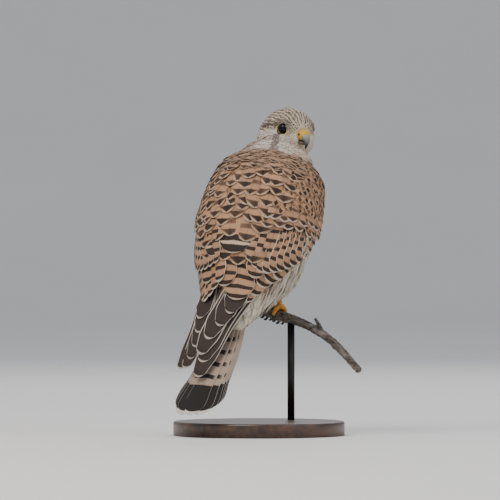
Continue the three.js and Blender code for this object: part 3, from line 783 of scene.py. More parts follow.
@dataclass(frozen=True)
class VaneFinish:
    """How the vanes of one tract are coloured.

    Sizes are millimetres from the feather's tip or edge, and fringe is how far up the sides the pale
    rim reaches from the tip. Lines is the number of fine dark lines that run back over half the head.
    """

    name: str
    marking: Marking
    dark: str = "33271f"
    pale: str = "d2c3af"
    rim: float = 0.9
    tip: float = 2.0
    bar: float = 3.4
    pitch: float = 8.5
    rough: float = 0.72
    fringe: float = 1000.0
    lines: float = 0.0

    def dark_mask(self, shader: Shader, x: Value, y: Value, half: Value, chance: Value) -> Value:
        """Where the feather is dark.

        Args:
            shader: the material; not used.
            x: distance from the shaft.
            y: distance from the tip.
            half: half the vane's width there.
            chance: this feather's own random number.

        Returns:
            A mask from 0 to 1.
        """
        off = abs(x)
        share = off / half.most(0.3)
        if self.marking is Marking.SPOT:
            middle = abs(y - self.tip - self.bar * (0.75 + 0.3 * chance))
            reach = off / (self.bar * 0.8) + middle / self.bar + (y - self.tip - self.bar) * off * 0.03
            return reach.step(1.05, 0.8)
        if self.marking is Marking.CHEVRON:
            low = (y - self.bar * 0.78 * share - self.tip).step(-0.3, 0.5)
            top = self.tip + self.bar * (0.9 + 0.35 * chance) - 0.6 * share
            band = low * (y - top).step(0.6, -0.5) * (1.0 - 0.25 * share)
            second = abs(y - self.tip - self.pitch - self.bar * 0.4 + 0.8 * share)
            again = second.step(self.bar * 0.5, self.bar * 0.25) * (0.8 - 0.3 * share)
            return band.most(again)
        if self.marking is Marking.PATCH:
            patch = y.step(self.tip - 0.3, self.tip + 0.3) * 0.95
            patch = patch * (y - self.tip - self.bar + 0.9 * share).step(0.5, -0.5)
            bar = abs(y - self.tip - self.pitch + 2.2 * share).step(3.2, 2.4)
            return patch.most(bar * 0.95)
        if self.marking is Marking.BARS:
            bend = y + off * 0.12 - self.tip
            phase, end = (bend / self.pitch).math("FRACT"), self.bar / self.pitch
            bars = phase.step(-0.02, 0.05) * phase.step(end + 0.05, end - 0.04)
            return bars * bend.step(-0.4, 0.1) * (1.0 - share.step(0.8, 1.0) * 0.5)
        if self.marking is Marking.STREAK:
            wide = 0.16 + 0.34 * y.step(0.0, self.tip)
            return (share - wide).step(0.16, -0.04) * y.step(0.0, 1.0)
        if self.marking is Marking.EDGED:
            return share.step(1.2, 0.98)
        if self.marking is Marking.TAIL:
            top = self.tip + self.bar
            band = y.step(self.tip - 0.5, self.tip + 0.5) * y.step(top + 1.2, top)
            phase = ((y + off * 0.1 - top) / self.pitch).math("FRACT")
            bars = phase.step(0.58, 0.65) * phase.step(0.97, 0.91) * y.step(top + 2, top + 4)
            return band.most(bars * 0.85 * (1.0 - share.step(0.6, 1.0)))
        return x * 0.0

    def head_lines(self, shader: Shader, place: NodeSocket, fine: Value) -> Value:
        """Fine dark lines that run back over the head from the forehead.

        Args:
            shader: the material.
            place: Object coordinates.
            fine: the barbs' random values.

        Returns:
            A mask from 0 to 1.
        """
        _, side, high = shader.axes(place, np.array(HEAD.centre), HEAD.matrix())
        wander = shader.noise(place, 260.0, 2.0) * 1.4 + shader.noise(place, 1100.0, 1.0) * 0.7
        wave = (side.math("ARCTAN2", high + 5.0) * (self.lines / math.pi) + wander).math("FRACT")
        spread = side * side + (high + 5.0) * (high + 5.0)
        return abs(wave - 0.5).step(0.34, 0.12) * (0.35 + fine).least(1.0) * spread.step(20.0, 110.0)

    def pale_mask(self, x: Value, y: Value, half: Value, chance: Value, ragged: Value) -> Value:
        """Where the feather has its pale rim, tip and band.

        Args:
            x: distance from the shaft.
            y: distance from the tip.
            half: half the vane's width there.
            chance: this feather's own random number.
            ragged: the barbs' unevenness.

        Returns:
            A mask from 0 to 1.
        """
        inside = (half - abs(x)).least(y)
        wide = self.rim * (0.75 + 0.5 * chance)
        rim = (inside + ragged * 0.5 - wide).step(0.15, -0.25) * y.step(self.fringe + 1.5, self.fringe - 1.5)
        share = abs(x) / half.most(0.3)
        if self.marking not in (Marking.STREAK, Marking.PLAIN):
            skew = share * (self.bar * 0.4) if self.marking is Marking.CHEVRON else 0.0
            rim = rim.most((y + ragged * 1.6 - self.tip * (0.7 + 0.4 * chance) - skew).step(0.45, -0.35))
        if self.marking is Marking.PATCH:
            middle = self.tip + (self.bar + self.pitch - 2.8) / 2
            cream = abs(y + ragged * 2.5 - middle + 1.5 * share)
            rim = rim.most(cream.step(2.0, 1.1) * 0.85)
        return rim

    def material(self) -> Material:
        """Builds the vane's material.

        Returns:
            The material.
        """
        shader = Shader(self.name)
        x, y, half = shader.split(shader.attribute("Vane").outputs["Vector"])
        tone = shader.attribute("Tone")
        base, chance = tone.outputs["Color"], shader.value(tone.outputs["Alpha"])
        mark = shader.value(shader.attribute("Mark").outputs["Fac"])
        place = shader.place()
        fine = shader.noise(shader.join(x * 0.9, (y + abs(x) * 0.9) * 4.0, chance * 40.0), 1.0, 2.0)
        ragged = (fine - 0.5) * 0.9
        if self.lines:
            dark = self.head_lines(shader, place, fine)
        else:
            dark = self.dark_mask(shader, x + ragged * 0.4, y + ragged, half, chance)
        rim = self.pale_mask(x, y, half, chance, ragged)
        worn = shader.mix((shader.noise(place, 90.0, 3.0) - 0.35) * 0.8, base, rgb(self.pale))
        # painted shade: a half-dark copy of the worn colour, laid into the grooves between the barbs where their
        # noise is low
        barb_shade = shader.mix(0.5, worn, (0.5, 0.5, 0.5, 1.0), "MULTIPLY")
        ground = shader.mix((0.35 + 0.65 * fine).least(1.0), barb_shade, base)
        marked = shader.mix((dark * mark * 1.15).least(1.0), ground, rgb(self.dark))
        edged = shader.mix(rim * (0.45 if self.marking is Marking.TAIL else 0.85), marked, rgb(self.pale))
        if self.marking is Marking.TAIL:
            edged = shader.mix((y + ragged).step(self.tip + 0.2, self.tip - 0.6) * 0.9, edged, rgb(self.pale))
        shaft = abs(x).step(0.28, 0.12) * y.step(0.5, 3.0)
        ridge = shader.noise(shader.join(x * 0.25, (y + abs(x) * 1.1) * 3.2, chance * 17.0), 1.6, 1.0)
        return shader.finish(
            {
                "Base Color": shader.mix(shaft * 0.45, edged, rgb(self.dark)),
                "Roughness": self.rough,
                "Specular IOR Level": 0.3,
                "Normal": shader.bump(ridge, 0.00035, 0.7),
            }
        )


# ---- helpers for pieces made from a round bar


def shaped(name: str, sides: int, rings: int, place: Place) -> Mesh:
    """A closed form whose sections are given by a function.

    Args:
        name: the mesh's name.
        sides: faces round the form.
        rings: faces along it.
        place: takes the share along the form, the angle round it and 1 on the rim or 0 at an end's middle,
            and returns places in millimetres.

    Returns:
        The mesh, in metres.
    """
    form = bmesh.new()
    bmesh.ops.create_uvsphere(form, u_segments=sides, v_segments=rings, radius=1.0)
    co = np.array([v.co for v in form.verts])
    share = 1 - np.arccos(np.clip(co[:, 2], -1, 1)) / math.pi
    rim = (np.hypot(co[:, 0], co[:, 1]) > 1e-4).astype(float)
    inner = np.clip((share * rings - 1) / (rings - 2), 0, 1)
    placed = place(inner, np.arctan2(co[:, 1], co[:, 0]), rim)
    for vertex, spot in zip(form.verts, placed * MM):
        vertex.co = spot
    bmesh.ops.recalc_face_normals(form, faces=list(form.faces))
    for face in form.faces:
        face.smooth = True
    return mesh_of(name, form)


def polar(share: Array, rim: Array, rings: int) -> Array:
    """The angle from the front pole at places that shaped asks for, so that a form of rings becomes a ball."""
    return math.pi * (1 - np.where(rim > 0, (share * (rings - 2) + rim) / rings, share))


def cylinder(
    name: str, radius: float, low: Vector, high: Vector, segments: int, bevel: float = 0.0
) -> Mesh:
    """An upright round bar or disc.

    Args:
        name: the mesh's name.
        radius: its radius, in metres.
        low: the middle of its lower end, in metres.
        high: the middle of its upper end, in metres.
        segments: faces round it.
        bevel: how far its upper edge is rounded, in metres.

    Returns:
        The mesh, in metres.
    """
    form = bmesh.new()
    bmesh.ops.create_cone(
        form, cap_ends=True, segments=segments, radius1=radius, radius2=radius, depth=high.z - low.z,
        matrix=Matrix.Translation((low + high) / 2),
    )
    if bevel:
        top = [e for e in form.edges if all(v.co.z > low.z + (high.z - low.z) * 0.9 for v in e.verts)]
        bmesh.ops.bevel(form, geom=top, offset=bevel, affect="EDGES", segments=5, profile=0.5, material=-1)
    for face in form.faces:
        face.smooth = abs(face.normal.z) < 0.99
    return mesh_of(name, form)


def route_frame(route: Rows, share: Array) -> tuple[Array, Array, Array, Array]:
    """Reads a route with directions across it.

    Args:
        route: evenly spaced places.
        share: shares of its length.

    Returns:
        The middle and the forward, sideways and upward directions at each share.
    """
    middle = along(route, share)
    ahead = unit(along(route, np.clip(share + 0.004, 0, 1)) - along(route, np.clip(share - 0.004, 0, 1)))
    guide = np.where(np.abs(ahead[:, 2:]) > 0.8, [0.0, 1.0, 0.0], [0.0, 0.0, 1.0])
    across = unit(np.cross(guide, ahead))
    return middle, ahead, across, np.cross(ahead, across)


def tube(
    name: str, route: Rows, radii: Sequence[float], sides: int, rings: int, bump: Place | None = None
) -> Mesh:
    """A closed round bar along a smooth route.

    Args:
        name: the mesh's name.
        route: evenly spaced places.
        radii: evenly spaced radii.
        sides: faces round it.
        rings: faces along it.
        bump: extra radius from the share along, the angle and the place on the surface.

    Returns:
        The mesh, in metres.
    """

    def place(share: Array, angle: Array, rim: Array) -> Array:
        """Places on the bar, as shaped asks for them."""
        middle, _, across, up = route_frame(route, share)
        radius = along([[r] for r in radii], share)[:, 0]
        turn = across * np.cos(angle)[:, None] + up * np.sin(angle)[:, None]
        if bump is not None:
            radius = radius + bump(share, angle, middle + turn * radius[:, None])
        return middle + turn * (radius * rim)[:, None]

    return shaped(name, sides, rings, place)


# ---- the body


@dataclass
class Body:
    """The skin of trunk, neck, head and thighs, and the smooth hull that the coat is laid on."""

    nodes: tuple[str, ...] = ("torso", "neck", "head", "thigh_right", "thigh_left")
    voxel: float = 1.25
    swell: float = 0.4
    smoothing: int = 7
    mass: Pair = (-54, 68)
    coat_depth: float = 2.4
    head_depth: float = 0.9
    eye: Triple = (8.5, 13.5, 4.7)
    socket: float = 7.4
    points: Array = field(init=False)
    normals: Array = field(init=False)
    quads: Array = field(init=False)
    tree: BVHTree = field(init=False)

    def __post_init__(self) -> None:
        """Joins the solids of flesh into one hull and reads it."""
        whole = bmesh.new()
        for name in self.nodes:
            whole.from_mesh(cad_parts[name].data)
        whole.from_mesh(shaped("wing_mass", 48, 40, self.wing_mass))
        bmesh.ops.remove_doubles(whole, verts=list(whole.verts), dist=1e-6)
        whole.normal_update()
        for vertex in whole.verts:
            vertex.co += vertex.normal * self.swell * MM
        source = bpy.data.objects.new("hull_source", mesh_of("hull_source", whole))
        bpy.context.scene.collection.objects.link(source)
        remesh = source.modifiers.new("remesh", "REMESH")
        remesh.mode, remesh.voxel_size = "VOXEL", self.voxel * MM
        made = bmesh.new()
        made.from_object(source, bpy.context.evaluated_depsgraph_get())
        bpy.data.objects.remove(source)
        for _ in range(self.smoothing):
            verts = list(made.verts)
            bmesh.ops.smooth_vert(made, verts=verts, factor=0.5, use_axis_x=True, use_axis_y=True, use_axis_z=True)
        made.normal_update()
        made.verts.index_update()
        self.points = np.array([v.co for v in made.verts]) / MM
        self.normals = np.array([v.normal for v in made.verts])
        self.quads = np.array([[v.index for v in face.verts] for face in made.faces if len(face.verts) == 4])
        self.points = self.points - self.normals * (self.swell * 0.5)
        made.free()
        self.tree = BVHTree.FromPolygons(self.points.tolist(), self.quads.tolist())

    def wing_mass(self, share: Array, angle: Array, rim: Array) -> Array:
        """Places on the back's form under the folded wings' feathers.

        Args:
            share: share of its length, from the tail's side.
            angle: angle round it from the back.
            rim: 1 on the surface, 0 at an end's middle.

        Returns:
            The places.
        """
        d = between(self.mass, share)
        degrees = np.degrees(angle)
        sink = -3.4 - 8 * smooth(-28, -54, d) - 5 * smooth(52, 66, d)
        inner = smooth(96, 112, np.abs(degrees))[:, None]
        face = WING_FACE.point(d, degrees, sink) * (1 - inner) + TRUNK.point(d, degrees, -4.0) * inner
        middle = Spine.frame(d)[0]
        return middle + (face - middle) * rim[:, None]

    def eye_gap(self, points: Array) -> tuple[Array, Array, Array]:
        """How places lie round the nearer eye.

        Args:
            points: places, in millimetres.

        Returns:
            The distance along the eye's axis and away from it, and the axis in the part's frame.
        """
        local = HEAD.into(points)
        side = np.where(local[:, 1:2] < 0, -1.0, 1.0)
        flip = np.concatenate([np.ones_like(side), side, np.ones_like(side)], 1)
        axis = unit(np.array(EYE_AXIS) * flip)
        away = local - np.array(self.eye) * flip
        out = (away * axis).sum(1)
        return out, np.linalg.norm(away - axis * out[:, None], axis=1), HEAD.turn_out(axis)

    def skin_points(self) -> Array:
        """The hull drawn in by the coat's depth, with the eye sockets pressed in.

        Returns:
            The skin's corners, in the hull's order.
        """
        d = Spine.distance(self.points)
        head = smooth(62, 74, d)
        near = HEAD.into(self.points)
        face = smooth(9, 15, near[:, 0]) * smooth(40, 30, np.linalg.norm(near, axis=1))
        depth = (self.coat_depth * (1 - head) + self.head_depth * head) * (1 - 0.8 * face)
        points = self.points - self.normals * depth[:, None]
        out, radius, axis = self.eye_gap(points)
        cap = 1.5 + 4.2 * smooth(4.0, self.socket, radius)
        press = np.where((radius < self.socket) & (out > 0), np.maximum(out - cap, 0), 0)
        return points - axis * press[:, None]

    def settle(self, points: Array) -> tuple[Array, Array]:
        """Moves places to the hull.

        Args:
            points: places near it, in millimetres.

        Returns:
            The nearest places on it and its outward directions there.
        """
        found = [self.tree.find_nearest(p) for p in points.tolist()]
        spots = np.array([f[0] for f in found])
        faces = np.array([f[2] for f in found])
        return spots, unit(self.normals[self.quads[faces]].mean(1))

    def scatter(self, keep: Field, gap: Field, tries: int, seed: int) -> tuple[Array, Array]:
        """Spreads roots over the hull, no two closer than a gap.

        Args:
            keep: tells which places belong to the tract.
            gap: the least distance between neighbours at each place.
            tries: how many places are tried.
            seed: the seed of the draw.

        Returns:
            The places and their gaps.
        """
        draw = np.random.default_rng(seed)
        corners = self.points[self.quads]
        area = np.linalg.norm(np.cross(corners[:, 2] - corners[:, 0], corners[:, 3] - corners[:, 1]), axis=1)
        area = area * keep(corners.mean(1))
        chosen = draw.choice(len(area), tries, p=area / area.sum())
        u, v = draw.random((2, tries, 1))
        c = corners[chosen]
        places = (c[:, 0] * (1 - u) + c[:, 1] * u) * (1 - v) + (c[:, 3] * (1 - u) + c[:, 2] * u) * v
        gaps = gap(places)
        cell = float(gaps.max())
        grid: dict[tuple[int, int, int], list[int]] = {}
        taken: list[int] = []
        keys = np.floor(places / cell).astype(int)
        for i, (key, place) in enumerate(zip(keys.tolist(), places)):
            around = [
                j
                for x in (-1, 0, 1)
                for y in (-1, 0, 1)
                for z in (-1, 0, 1)
                for j in grid.get((key[0] + x, key[1] + y, key[2] + z), ())
            ]
            if around and ((places[around] - place) ** 2).sum(1).min() < gaps[i] ** 2:
                continue
            grid.setdefault(tuple(key), []).append(i)
            taken.append(i)
        return places[taken], gaps[taken]

    def build(self) -> Object:
        """Makes the skin.

        Returns:
            The skin's object.
        """
        mesh = array_mesh("skin", self.skin_points(), self.quads)
        tone, _ = Markings.at(self.points)
        store(mesh, "Tone", "FLOAT_COLOR", np.concatenate([tone, np.ones((len(tone), 1))], 1))
        return new_piece("skin", mesh, Finishes.skin(), "plumage_back", *self.nodes)


def lie(points: Array) -> Array:
    """The direction that feathers point in.

    Args:
        points: places on the body, in millimetres.

    Returns:
        One vector for each.
    """
    d = Spine.distance(points)
    _, up, _ = Spine.frame(d)
    local = HEAD.into(points)
    down = -0.3 - 0.5 * smooth(0, -18, local[:, 2])
    head = HEAD.turn_out(np.stack([-np.ones(len(points)), np.zeros(len(points)), down], 1))
    share = smooth(66, 82, d)[:, None]
    return unit(-up * (1 - share) + unit(head) * share)


@dataclass(frozen=True)
class CoatTract:
    """A tract of small feathers scattered over the hull.

    Length and width are multiples of the gap between roots.
    """

    name: str
    slot: str
    keep: Field
    gap: Field
    shape: VaneShape
    finish: VaneFinish
    length: float = 2.7
    width: float = 1.7
    lift: Pair = (-1.4, 0.5)
    tries: int = 16000
    seed: int = 1
    sway: float = 8.0
    drop: float = 0.0

    def feathers(self, body: Body) -> Feathers:
        """Roots the feathers and runs each along the hull.

        Args:
            body: the body that they grow on.

        Returns:
            The tract's feathers.
        """
        draw = np.random.default_rng(self.seed + 100)
        roots, gaps = body.scatter(self.keep, self.gap, self.tries, self.seed)
        rows = self.shape.rows
        n = len(roots)
        length = gaps * self.length * draw.uniform(0.85, 1.2, n)
        turn = np.radians(draw.normal(0, self.sway, n))[:, None]
        spot, normal = body.settle(roots)
        spots, normals = [spot], [normal]
        for _ in range(rows):
            way = lie(spot)
            way = unit(way - normal * (way * normal).sum(1, keepdims=True))
            way = unit(way * np.cos(turn) + np.cross(normal, way) * np.sin(turn))
            reach = spot + way * (length / rows)[:, None]
            spot, normal = body.settle(reach)
            if self.drop:
                spot = spot * (1 - self.drop) + reach * self.drop
            spots.append(spot)
            normals.append(normal)
        line, out = np.stack(spots, 1), np.stack(normals, 1)
        lift = np.linspace(0, 1, rows + 1)[None] ** 0.8
        rise = between(self.lift, lift) + draw.normal(0, 0.08, (n, 1))
        line = line + out * rise[..., None]
        colour, mark = Markings.at(spots[round(0.6 * rows)])
        tone = varied(colour, 0.12, n, draw)
        width = gaps * self.width * draw.uniform(0.9, 1.1, n)
        return Feathers(line, out, width, tone, mark, roots, draw.normal(0, 3, n))

    def build(self, body: Body, *replaced: str) -> Object:
        """Makes the tract's joined mesh."""
        mesh = plumage_mesh(self.name, self.shape, self.feathers(body))
        return new_piece(self.name, mesh, self.finish.material(), self.slot, *replaced)


@dataclass(frozen=True)
class RowTract:
    """Rows of feathers laid like tiles on the wings' face.

    Rows follow each other from the first place along the spine to the last. Size gives the pitch of
    the rows, the gap between neighbours, and the feathers' length and width at places along the spine,
    and inner and outer give the angles that the rows run between. A tract without an inner line spans
    the back from side to side. Sag is how much further a row reaches at the back's middle. Places gives
    the tips one by one instead, each as distance along the spine, angle and width, and base is the part
    of such a feather's length that doesn't grow with its width.
    """

    name: str
    slot: str
    shape: VaneShape
    finish: VaneFinish
    first: float = 0.0
    last: float = 0.0
    size: Rows = ()
    outer: Rows = ()
    inner: Rows = ()
    tone: Shade = Shade.RUFOUS
    sag: float = 5.0
    lift: Pair = (-1.4, 0.7)
    seed: int = 7
    mark: Pair = (0.8, 1.0)
    loose: float = 0.5
    places: Rows = ()
    base: float = 9.0

    def tips(self) -> Array:
        """Lists the feathers.

        Returns:
            The place and angle of each tip, and each feather's length and width.
        """
        rows, d, k = [(d, a, self.base + 1.05 * w, 1.22 * w) for d, a, w in self.places], self.first, 0
        while d > self.last:
            pitch, gap, length, width = read_table(self.size, d)
            limit = float(read_table(self.outer, d)[0])
            start = float(read_table(self.inner, d)[0]) if self.inner else -limit
            radius = float(read_table(WINGS, d)[:2].mean())
            count = max(2, round((limit - start) * math.radians(1) * radius / gap))
            angles = start + (limit - start) * (np.arange(count + 1) + 0.5 * (k % 2)) / count
            for side in (1, -1) if self.inner else (1,):
                rows += [(d, side * a, length, width) for a in angles]
            d, k = d - pitch, k + 1
        return np.array(rows)

    def feathers(self) -> Feathers:
        """Lays the rows.

        Returns:
            The tract's feathers.
        """
        draw = np.random.default_rng(self.seed)
        tips, angles, length, width = self.tips().T
        n = len(tips)
        angles = angles + draw.normal(0, 1.4 * self.loose, n)
        sag = 0.0 if self.places else self.sag * (np.abs(angles) / 50) ** 1.4
        tips = tips + sag + draw.normal(0, self.loose, n)
        length = length * draw.uniform(0.92, 1.08, n)
        share = np.linspace(0, 1, self.shape.rows + 1)[None]
        lean = draw.normal(0, 2.2 * self.loose, n)
        d = tips[:, None] + length[:, None] * (1 - share)
        degrees = angles[:, None] + lean[:, None] * (1 - share)
        lift = between(self.lift, share) + draw.normal(0, 0.16, (n, 1))
        lift = lift - 3.5 * smooth(42, 55, d)
        points = WING_FACE.point(d, degrees, lift)
        tone = varied(self.tone.linear(), 0.16, n, draw)
        roots = WING_FACE.point(d[:, 0], degrees[:, 0], 0.0)
        mark = draw.uniform(*self.mark, n)
        width = width * draw.uniform(0.9, 1.1, n)
        return Feathers(points, WING_FACE.normal(d, degrees), width, tone, mark, roots, draw.normal(0, 3.5, n))

    def build(self, *replaced: str) -> Object:
        """Makes the tract's joined mesh."""
        mesh = plumage_mesh(self.name, self.shape, self.feathers())
        return new_piece(self.name, mesh, self.finish.material(), self.slot, *replaced)


# ---- wings and tail


@dataclass(frozen=True)
class LongTier:
    """One tier of long wing feathers, from its lines of roots and tips on the wings' face.

    Places are pairs of distance along the spine and degrees. A tier with ends runs free of the body:
    each feather bends over a place in via and ends at a point of its own, and all of them lie on one
    smooth sheet. Each feather lies under the one before it by the stack.
    """

    count: int
    width: float
    lift: Pair
    roll: float
    roots: Rows
    tips: Rows = ()
    via: Rows = ()
    ends: Rows = ()
    end_normal: Triple = (0, 0.82, 0.56)
    tone: Shade = Shade.COVERT
    mark: float = 1.0
    stack: float = 0.25

    def feathers(self, side: int, shape: VaneShape, seed: int) -> Feathers:
        """Lays the tier.

        Args:
            side: 1 for the bird's right wing and -1 for its left.
            shape: the vane that it is made of.
            seed: the seed of its small differences.

        Returns:
            The tier's feathers.
        """
        draw = np.random.default_rng(seed)
        which = np.linspace(0, 1, self.count)
        share = np.linspace(0, 1, shape.rows + 1)[None, :, None]
        root = along(self.roots, which)
        if self.ends:
            via, end = along(self.via, which), along(self.ends, which)
            a = WING_FACE.point(root[:, 0], root[:, 1], self.lift[0])[:, None]
            b = WING_FACE.point(via[:, 0], via[:, 1], self.lift[1])[:, None]
            c = end[:, None]
            points = a * (1 - share) ** 2 + 2 * b * share * (1 - share) + c * share**2
            first = WING_FACE.normal(root[:, 0], root[:, 1])[:, None]
            second = WING_FACE.normal(via[:, 0], via[:, 1])[:, None]
            last = np.array(self.end_normal)[None, None]
            early, late = np.clip(share / 0.3, 0, 1), np.clip((share - 0.3) / 0.7, 0, 1)
            normals = unit((first + (second - first) * early) * (1 - late) + last * late)
        else:
            tip = along(self.tips, which)
            place = root[:, None] + (tip - root)[:, None] * share
            lift = between(self.lift, share[..., 0])
            points = WING_FACE.point(place[..., 0], place[..., 1], np.broadcast_to(lift, place.shape[:2]))
            normals = WING_FACE.normal(place[..., 0], place[..., 1])
        n = self.count
        order = np.arange(n)[:, None, None]
        if self.ends:
            face = unit(np.array(self.end_normal))
            sheet = points[n // 2]
            height = np.interp(points[..., 2], sheet[::-1, 2], (sheet @ face)[::-1])
            gap = (height - points @ face) / (OUTWARD @ face)
            late = smooth(0.25, 0.5, share[..., 0])
            points = points + OUTWARD * (gap * late)[..., None]
            points = points - OUTWARD * self.stack * (order - n // 2) * share
        else:
            points = points - normals * self.stack * order
        tone = varied(self.tone.linear(), 0.08, n, draw)
        width = self.width * draw.uniform(0.97, 1.03, n)
        return Feathers(points, normals, width, tone, np.full(n, self.mark), points[:, 0], -side * self.roll)


@dataclass(frozen=True)
class Wing:
    """A folded wing's three tiers of long feathers."""

    side: int
    greater: LongTier
    secondaries: LongTier
    primaries: LongTier

    def build(self, finishes: dict[str, Material]) -> None:
        """Makes the tiers, each as one joined mesh.

        Args:
            finishes: the material of each tier.
        """
        name = "right" if self.side > 0 else "left"
        broad = VaneShape(
            14, 8, ((0, 0.5), (0.15, 0.9), (0.5, 1), (0.85, 0.97), (1, 0.66)),
            fall=0.62, thick=0.3, shaft=0.5, hollow=30, blunt=0.72,
        )
        long = VaneShape(
            22, 8, ((0, 0.5), (0.2, 1), (0.75, 1), (0.94, 0.92), (1, 0.64)),
            fall=0.75, thick=0.3, shaft=0.4, hollow=400, blunt=0.86,
        )
        tiers = (
            ("greater_coverts", "coverts", self.greater, "plumage_wing"),
            ("secondaries", "secondaries", self.secondaries, "plumage_wing"),
            ("primaries", "primaries", self.primaries, "flight_feathers"),
        )
        for seed, (label, node, tier, slot) in enumerate(tiers):
            shape = long if tier.ends else broad
            group = tier.feathers(self.side, shape, 40 + seed + 10 * self.side)
            piece = f"{label}_{name}"
            new_piece(piece, plumage_mesh(piece, shape, group), finishes[label], slot, f"wing_{name}_{node}")


@dataclass(frozen=True)
class Tail:
    """Twelve tail feathers in a nearly closed fan, from the top one down.

    A feather is given by how far its tip stands to the side, in millimetres, and how much shorter it is.
    """

    fan: Rows = (
        (0.5, 0), (-7, 0.6), (7.4, 1.2), (-10.6, 2.5), (11.4, 3.5), (-12.4, 5), (12.9, 6), (-13.4, 8), (13.6, 9),
        (-14, 11), (14, 12), (-14.4, 14),
    )
    width: float = 18.5
    step: float = 0.42
    roll: float = 5
    root_d: float = -84
    tip_d: float = -186.5
    lean: float = 10
    finish: VaneFinish = VaneFinish(
        "Tail_feather", Marking.TAIL, "1f1a17", "dcd3c8", rim=0.3, tip=3.8, bar=26.0, pitch=12.5
    )

    def build(self) -> None:
        """Makes the tail as one joined mesh."""
        shape = VaneShape(
            26, 8, ((0, 0.4), (0.3, 0.85), (0.7, 1), (0.95, 0.95), (1, 0.66)),
            fall=0.72, thick=0.35, shaft=0.45, hollow=70, blunt=0.9,
        )
        draw = np.random.default_rng(5)
        share = np.linspace(0, 1, shape.rows + 1)
        points, normals, rolls = [], [], []
        for i, (across, short) in enumerate(self.fan):
            middle, _, back = Spine.frame(self.root_d + (self.tip_d + short - self.root_d) * share)
            line = middle + back * (-self.step * i)
            line[:, 0] += -across * (0.35 + 0.65 * share) + self.lean * share
            points.append(line)
            normals.append(back)
            rolls.append(math.copysign(self.roll, across) if i else 0.0)
        points, normals = np.array(points), np.array(normals)
        n = len(points)
        tone = varied(Shade.TAIL.linear(), 0.07, n, draw)
        group = Feathers(points, normals, np.full(n, self.width), tone, np.ones(n), points[:, 0], np.array(rolls))
        mesh = plumage_mesh("tail_feathers", shape, group)
        new_piece("tail_feathers", mesh, self.finish.material(), "plumage_tail", "tail")


# ---- head parts


@dataclass(frozen=True)
class Eye:
    """One eye with its lids and bare ring."""

    side: int
    centre: Triple = (8.2, 12.4, 4.7)
    radius: float = 5.5
    axis: Triple = EYE_AXIS
    opening: float = 4.9
    rim: float = 0.55
    bulge: float = 0.25
    rings: int = 26

    def frame(self) -> tuple[Array, Array, Array, Array]:
        """Places the eye in the part's frame.

        Returns:
            Its centre and its outward, sideways and upward directions.
        """
        flip = np.array([1, self.side, 1])
        axis = unit(np.array(self.axis) * flip)
        up = unit(np.array([0.0, 0, 1]) - axis * axis[2])
        middle = HEAD.out(np.array([np.array(self.centre) * flip]))[0]
        return middle, HEAD.turn_out(axis), HEAD.turn_out(np.cross(up, axis)), HEAD.turn_out(up)

    def globe(self, share: Array, angle: Array, rim: Array) -> Array:
        """Places on the eyeball, whose clear front bulges a little.

        Args:
            share: share of the way from its back to its front.
            angle: angle round its axis.
            rim: 1 on the surface, 0 at an end's middle.

        Returns:
            The places.
        """
        middle, out, across, up = self.frame()
        tilt = polar(share, rim, self.rings)
        radius = self.radius * rim * np.sin(tilt)
        height = self.radius * np.cos(tilt) + self.bulge * smooth(0.7, 1.0, np.cos(tilt))
        turn = across * np.cos(angle)[:, None] + up * np.sin(angle)[:, None]
        return middle + out * height[:, None] + turn * radius[:, None]

    def lids(self) -> Mesh:
        """Bends a ring into the bare edge of the lids.

        Returns:
            The mesh, in metres.
        """
        middle, out, across, up = self.frame()
        reach = 3.0
        ring = bmesh.new()
        stand = Matrix.Translation((reach, 0, 0)) @ Matrix.Rotation(math.pi / 2, 4, "X")
        bmesh.ops.create_circle(ring, segments=10, radius=1.0, matrix=stand)
        bmesh.ops.spin(
            ring, geom=list(ring.edges), cent=(0, 0, 0), axis=(0, 0, 1), angle=2 * math.pi, steps=48, use_merge=True
        )
        base = math.sqrt(self.radius**2 - self.opening**2) + 0.4
        for v in ring.verts:
            a, u = math.atan2(v.co.y, v.co.x), math.hypot(v.co.x, v.co.y) - reach
            lidded = 1.0 - 0.1 * max(0.0, math.sin(a)) - 0.05 * max(0.0, -math.sin(a))
            thick = self.rim * (1 + 0.25 * math.sin(a) ** 2)
            turn = across * math.cos(a) + up * math.sin(a)
            spot = middle + out * (base + v.co.z * thick * 0.8 - 0.12 * (u + 1))
            v.co = (spot + turn * (self.opening * lidded + 0.25 + u * thick)) * MM
        for face in ring.faces:
            face.smooth = True
        ring.normal_update()
        bmesh.ops.recalc_face_normals(ring, faces=list(ring.faces))
        return mesh_of("lids", ring)

    def build(self, ball: Material, lid: Material) -> None:
        """Makes the eyeball and the lids.

        Args:
            ball: the eyeball's material.
            lid: the material of the bare ring.
        """
        name = "right" if self.side < 0 else "left"
        new_piece(f"eyeball_{name}", shaped("eyeball", 40, self.rings, self.globe), ball, "eye", f"eye_{name}")
        new_piece(f"eyelids_{name}", self.lids(), lid, "cere")


